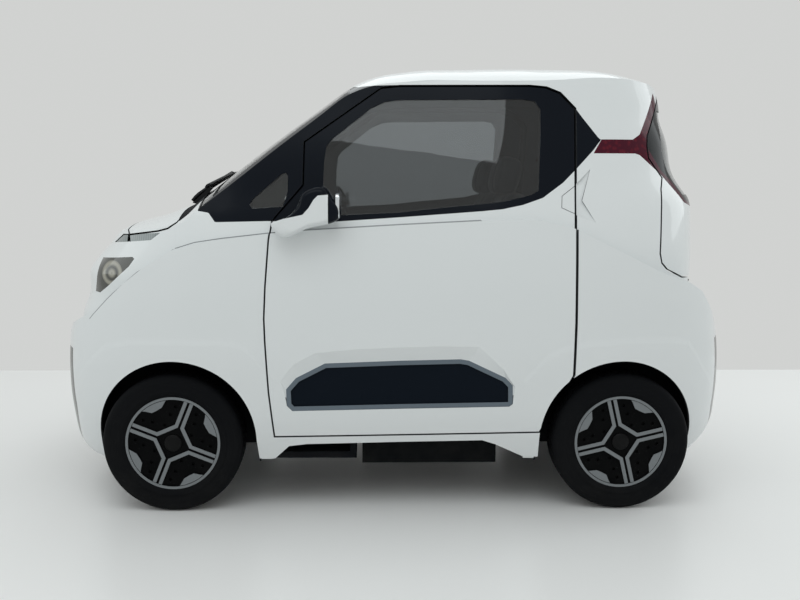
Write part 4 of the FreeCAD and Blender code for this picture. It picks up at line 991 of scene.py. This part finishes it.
def strip_tip(sign):
    """A light strip's tip: a skin between two edge curves, laid just under the nose's superellipse."""
    x = np.linspace(-1.040, -0.975, 40)[:, None]
    low = np.interp(x, (-1.040, -0.871), (0.946, 0.963))
    high = np.interp(x, (-1.040, -0.994, -0.837), (0.949, 0.978, 0.986))
    z = low + (high - low) * np.linspace(0, 1, 14)[None, :]
    half = np.interp(z, (0.889, 0.936, 1.000), (0.744, 0.741, 0.732))
    reach = np.interp(z, (0.889, 0.936, 1.000), (1.140, 1.096, 1.060))
    across = half * (1 - np.clip(np.abs(x / reach), 0, 0.999) ** PLAN_POWER) ** (1 / PLAN_POWER)
    sheets = [np.stack([x + depth * 0.5 + 0 * z, sign * (across - depth), z], axis=-1)
              for depth in (0.005, 0.008)]
    rows, columns = z.shape
    ring = np.concatenate([sheets[0], sheets[1][:, ::-1]], axis=1)
    caps = [[first + place, first + place + 1, first + 2 * columns - 2 - place, first + 2 * columns - 1 - place]
            for first in (0, (rows - 1) * columns * 2) for place in range(columns - 1)]
    return ring, np.concatenate([grid_faces(rows, columns * 2, False, True), np.array(caps)])


class MICROCAR_OT_stage(Operator):
    """Makes the studio floor, the lamps, the backdrop colour and the camera"""
    bl_idname = "microcar.stage"
    bl_label = "Studio"

    def execute(self, context):
        stage = settings().stage
        make_floor(stage)
        make_world(stage)
        for name, place, extent, power in LAMPS:
            make_lamp(name, place, extent, power * stage.light)
        make_camera(context)
        context.scene.view_settings.view_transform = "Standard"
        return {"FINISHED"}


def make_floor(stage):
    """A plain pale floor, which ends where the backdrop starts."""
    reach = 30.0
    back = 1.9
    corners = [(-reach, -reach, 0), (reach, -reach, 0), (reach, back, 0), (-reach, back, 0)]
    mesh = bpy.data.meshes.new("floor")
    mesh.from_pydata(corners, [], [(0, 1, 2, 3)])
    floor = add_object("floor", mesh)
    material, tree, shader = new_material("floor")
    place = place_of(tree)[0]
    cloud = noise(tree, place, 0.8, 3.0)
    shade = blend_colour(tree, cloud, stage.floor, tuple(c * 0.97 for c in stage.floor))
    dress(tree, shader, Base_Color=shade, Roughness=0.32)
    mesh.materials.append(material)


def make_world(stage):
    """An even pale surround, seen as the backdrop and in reflections."""
    world = bpy.data.worlds.new("surround")
    world.use_nodes = True
    bpy.context.scene.world = world
    tree = world.node_tree
    background = tree.nodes["Background"]
    rays = tree.nodes.new("ShaderNodeLightPath")
    seen = maths(tree, "MAXIMUM", rays.outputs["Is Camera Ray"], rays.outputs["Is Glossy Ray"])
    seen = maths(tree, "MAXIMUM", seen, rays.outputs["Is Transmission Ray"])
    dress(tree, background, Color=stage.wall, Strength=blend_number(tree, seen, SURROUND, 1.0))


def make_lamp(name, place, extent, power):
    """A soft rectangular lamp aimed at the car's middle."""
    lamp = bpy.data.lights.new(name, "AREA")
    lamp.shape = "RECTANGLE"
    lamp.size, lamp.size_y = extent
    lamp.energy = power
    lamp.color = LAMP_COLOUR
    item = add_object(name, lamp)
    item.location = place
    item.rotation_euler = (Vector((0, 0, 0.8)) - Vector(place)).to_track_quat("-Z", "Y").to_euler()


def make_camera(context):
    """The camera at the photograph's viewing angle."""
    sensor = 36.0
    photo_width = 800
    focal_pixels = 952.6
    place = (-0.10701, -4.02777, 1.16021)
    yaw, pitch, roll = 0.03307, 0.1198, -0.00535
    camera = bpy.data.cameras.new("camera")
    camera.sensor_width = sensor
    camera.lens = focal_pixels / photo_width * sensor
    item = add_object("camera", camera)
    turn = (Matrix.Rotation(-yaw, 4, "Z") @ Matrix.Rotation(math.pi / 2 - pitch, 4, "X")
            @ Matrix.Rotation(-roll, 4, "Z"))
    item.matrix_world = Matrix.Translation(place) @ turn
    context.scene.camera = item


class MICROCAR_PT_panel(Panel):
    """Lists the steps of the build"""
    bl_label = "Microcar"
    bl_idname = "MICROCAR_PT_panel"
    bl_space_type = "VIEW_3D"
    bl_region_type = "UI"
    bl_category = "Microcar"

    def draw(self, context):
        for step in STEPS:
            self.layout.operator(step.bl_idname)
        for group in ("paint", "glass", "tyre", "cabin", "stage"):
            values = getattr(context.scene.microcar_looks, group)
            box = self.layout.box()
            for name in values.bl_rna.properties.keys():
                if name not in ("rna_type", "name"):
                    box.prop(values, name)


STEPS = (MICROCAR_OT_finishes, MICROCAR_OT_tyres, MICROCAR_OT_mirrors, MICROCAR_OT_wipers, MICROCAR_OT_cabin,
         MICROCAR_OT_seals, MICROCAR_OT_trim, MICROCAR_OT_stage)
CLASSES = (PaintSettings, GlassSettings, TyreSettings, CabinSettings, StageSettings, MicrocarSettings, *STEPS,
           MICROCAR_PT_panel)


def register():
    """Registers the classes and puts the settings on the scene."""
    for cls in CLASSES:
        bpy.utils.register_class(cls)
    bpy.types.Scene.microcar_looks = PointerProperty(type=MicrocarSettings)


def unregister():
    """Undoes register."""
    del bpy.types.Scene.microcar_looks
    for cls in reversed(CLASSES):
        bpy.utils.unregister_class(cls)


def main():
    """Runs the steps in order."""
    register()
    bpy.ops.microcar.finishes()
    bpy.ops.microcar.tyres()
    bpy.ops.microcar.mirrors()
    bpy.ops.microcar.wipers()
    bpy.ops.microcar.cabin()
    bpy.ops.microcar.seals()
    bpy.ops.microcar.trim()
    bpy.ops.microcar.stage()


if __name__ == "__main__":
    main()
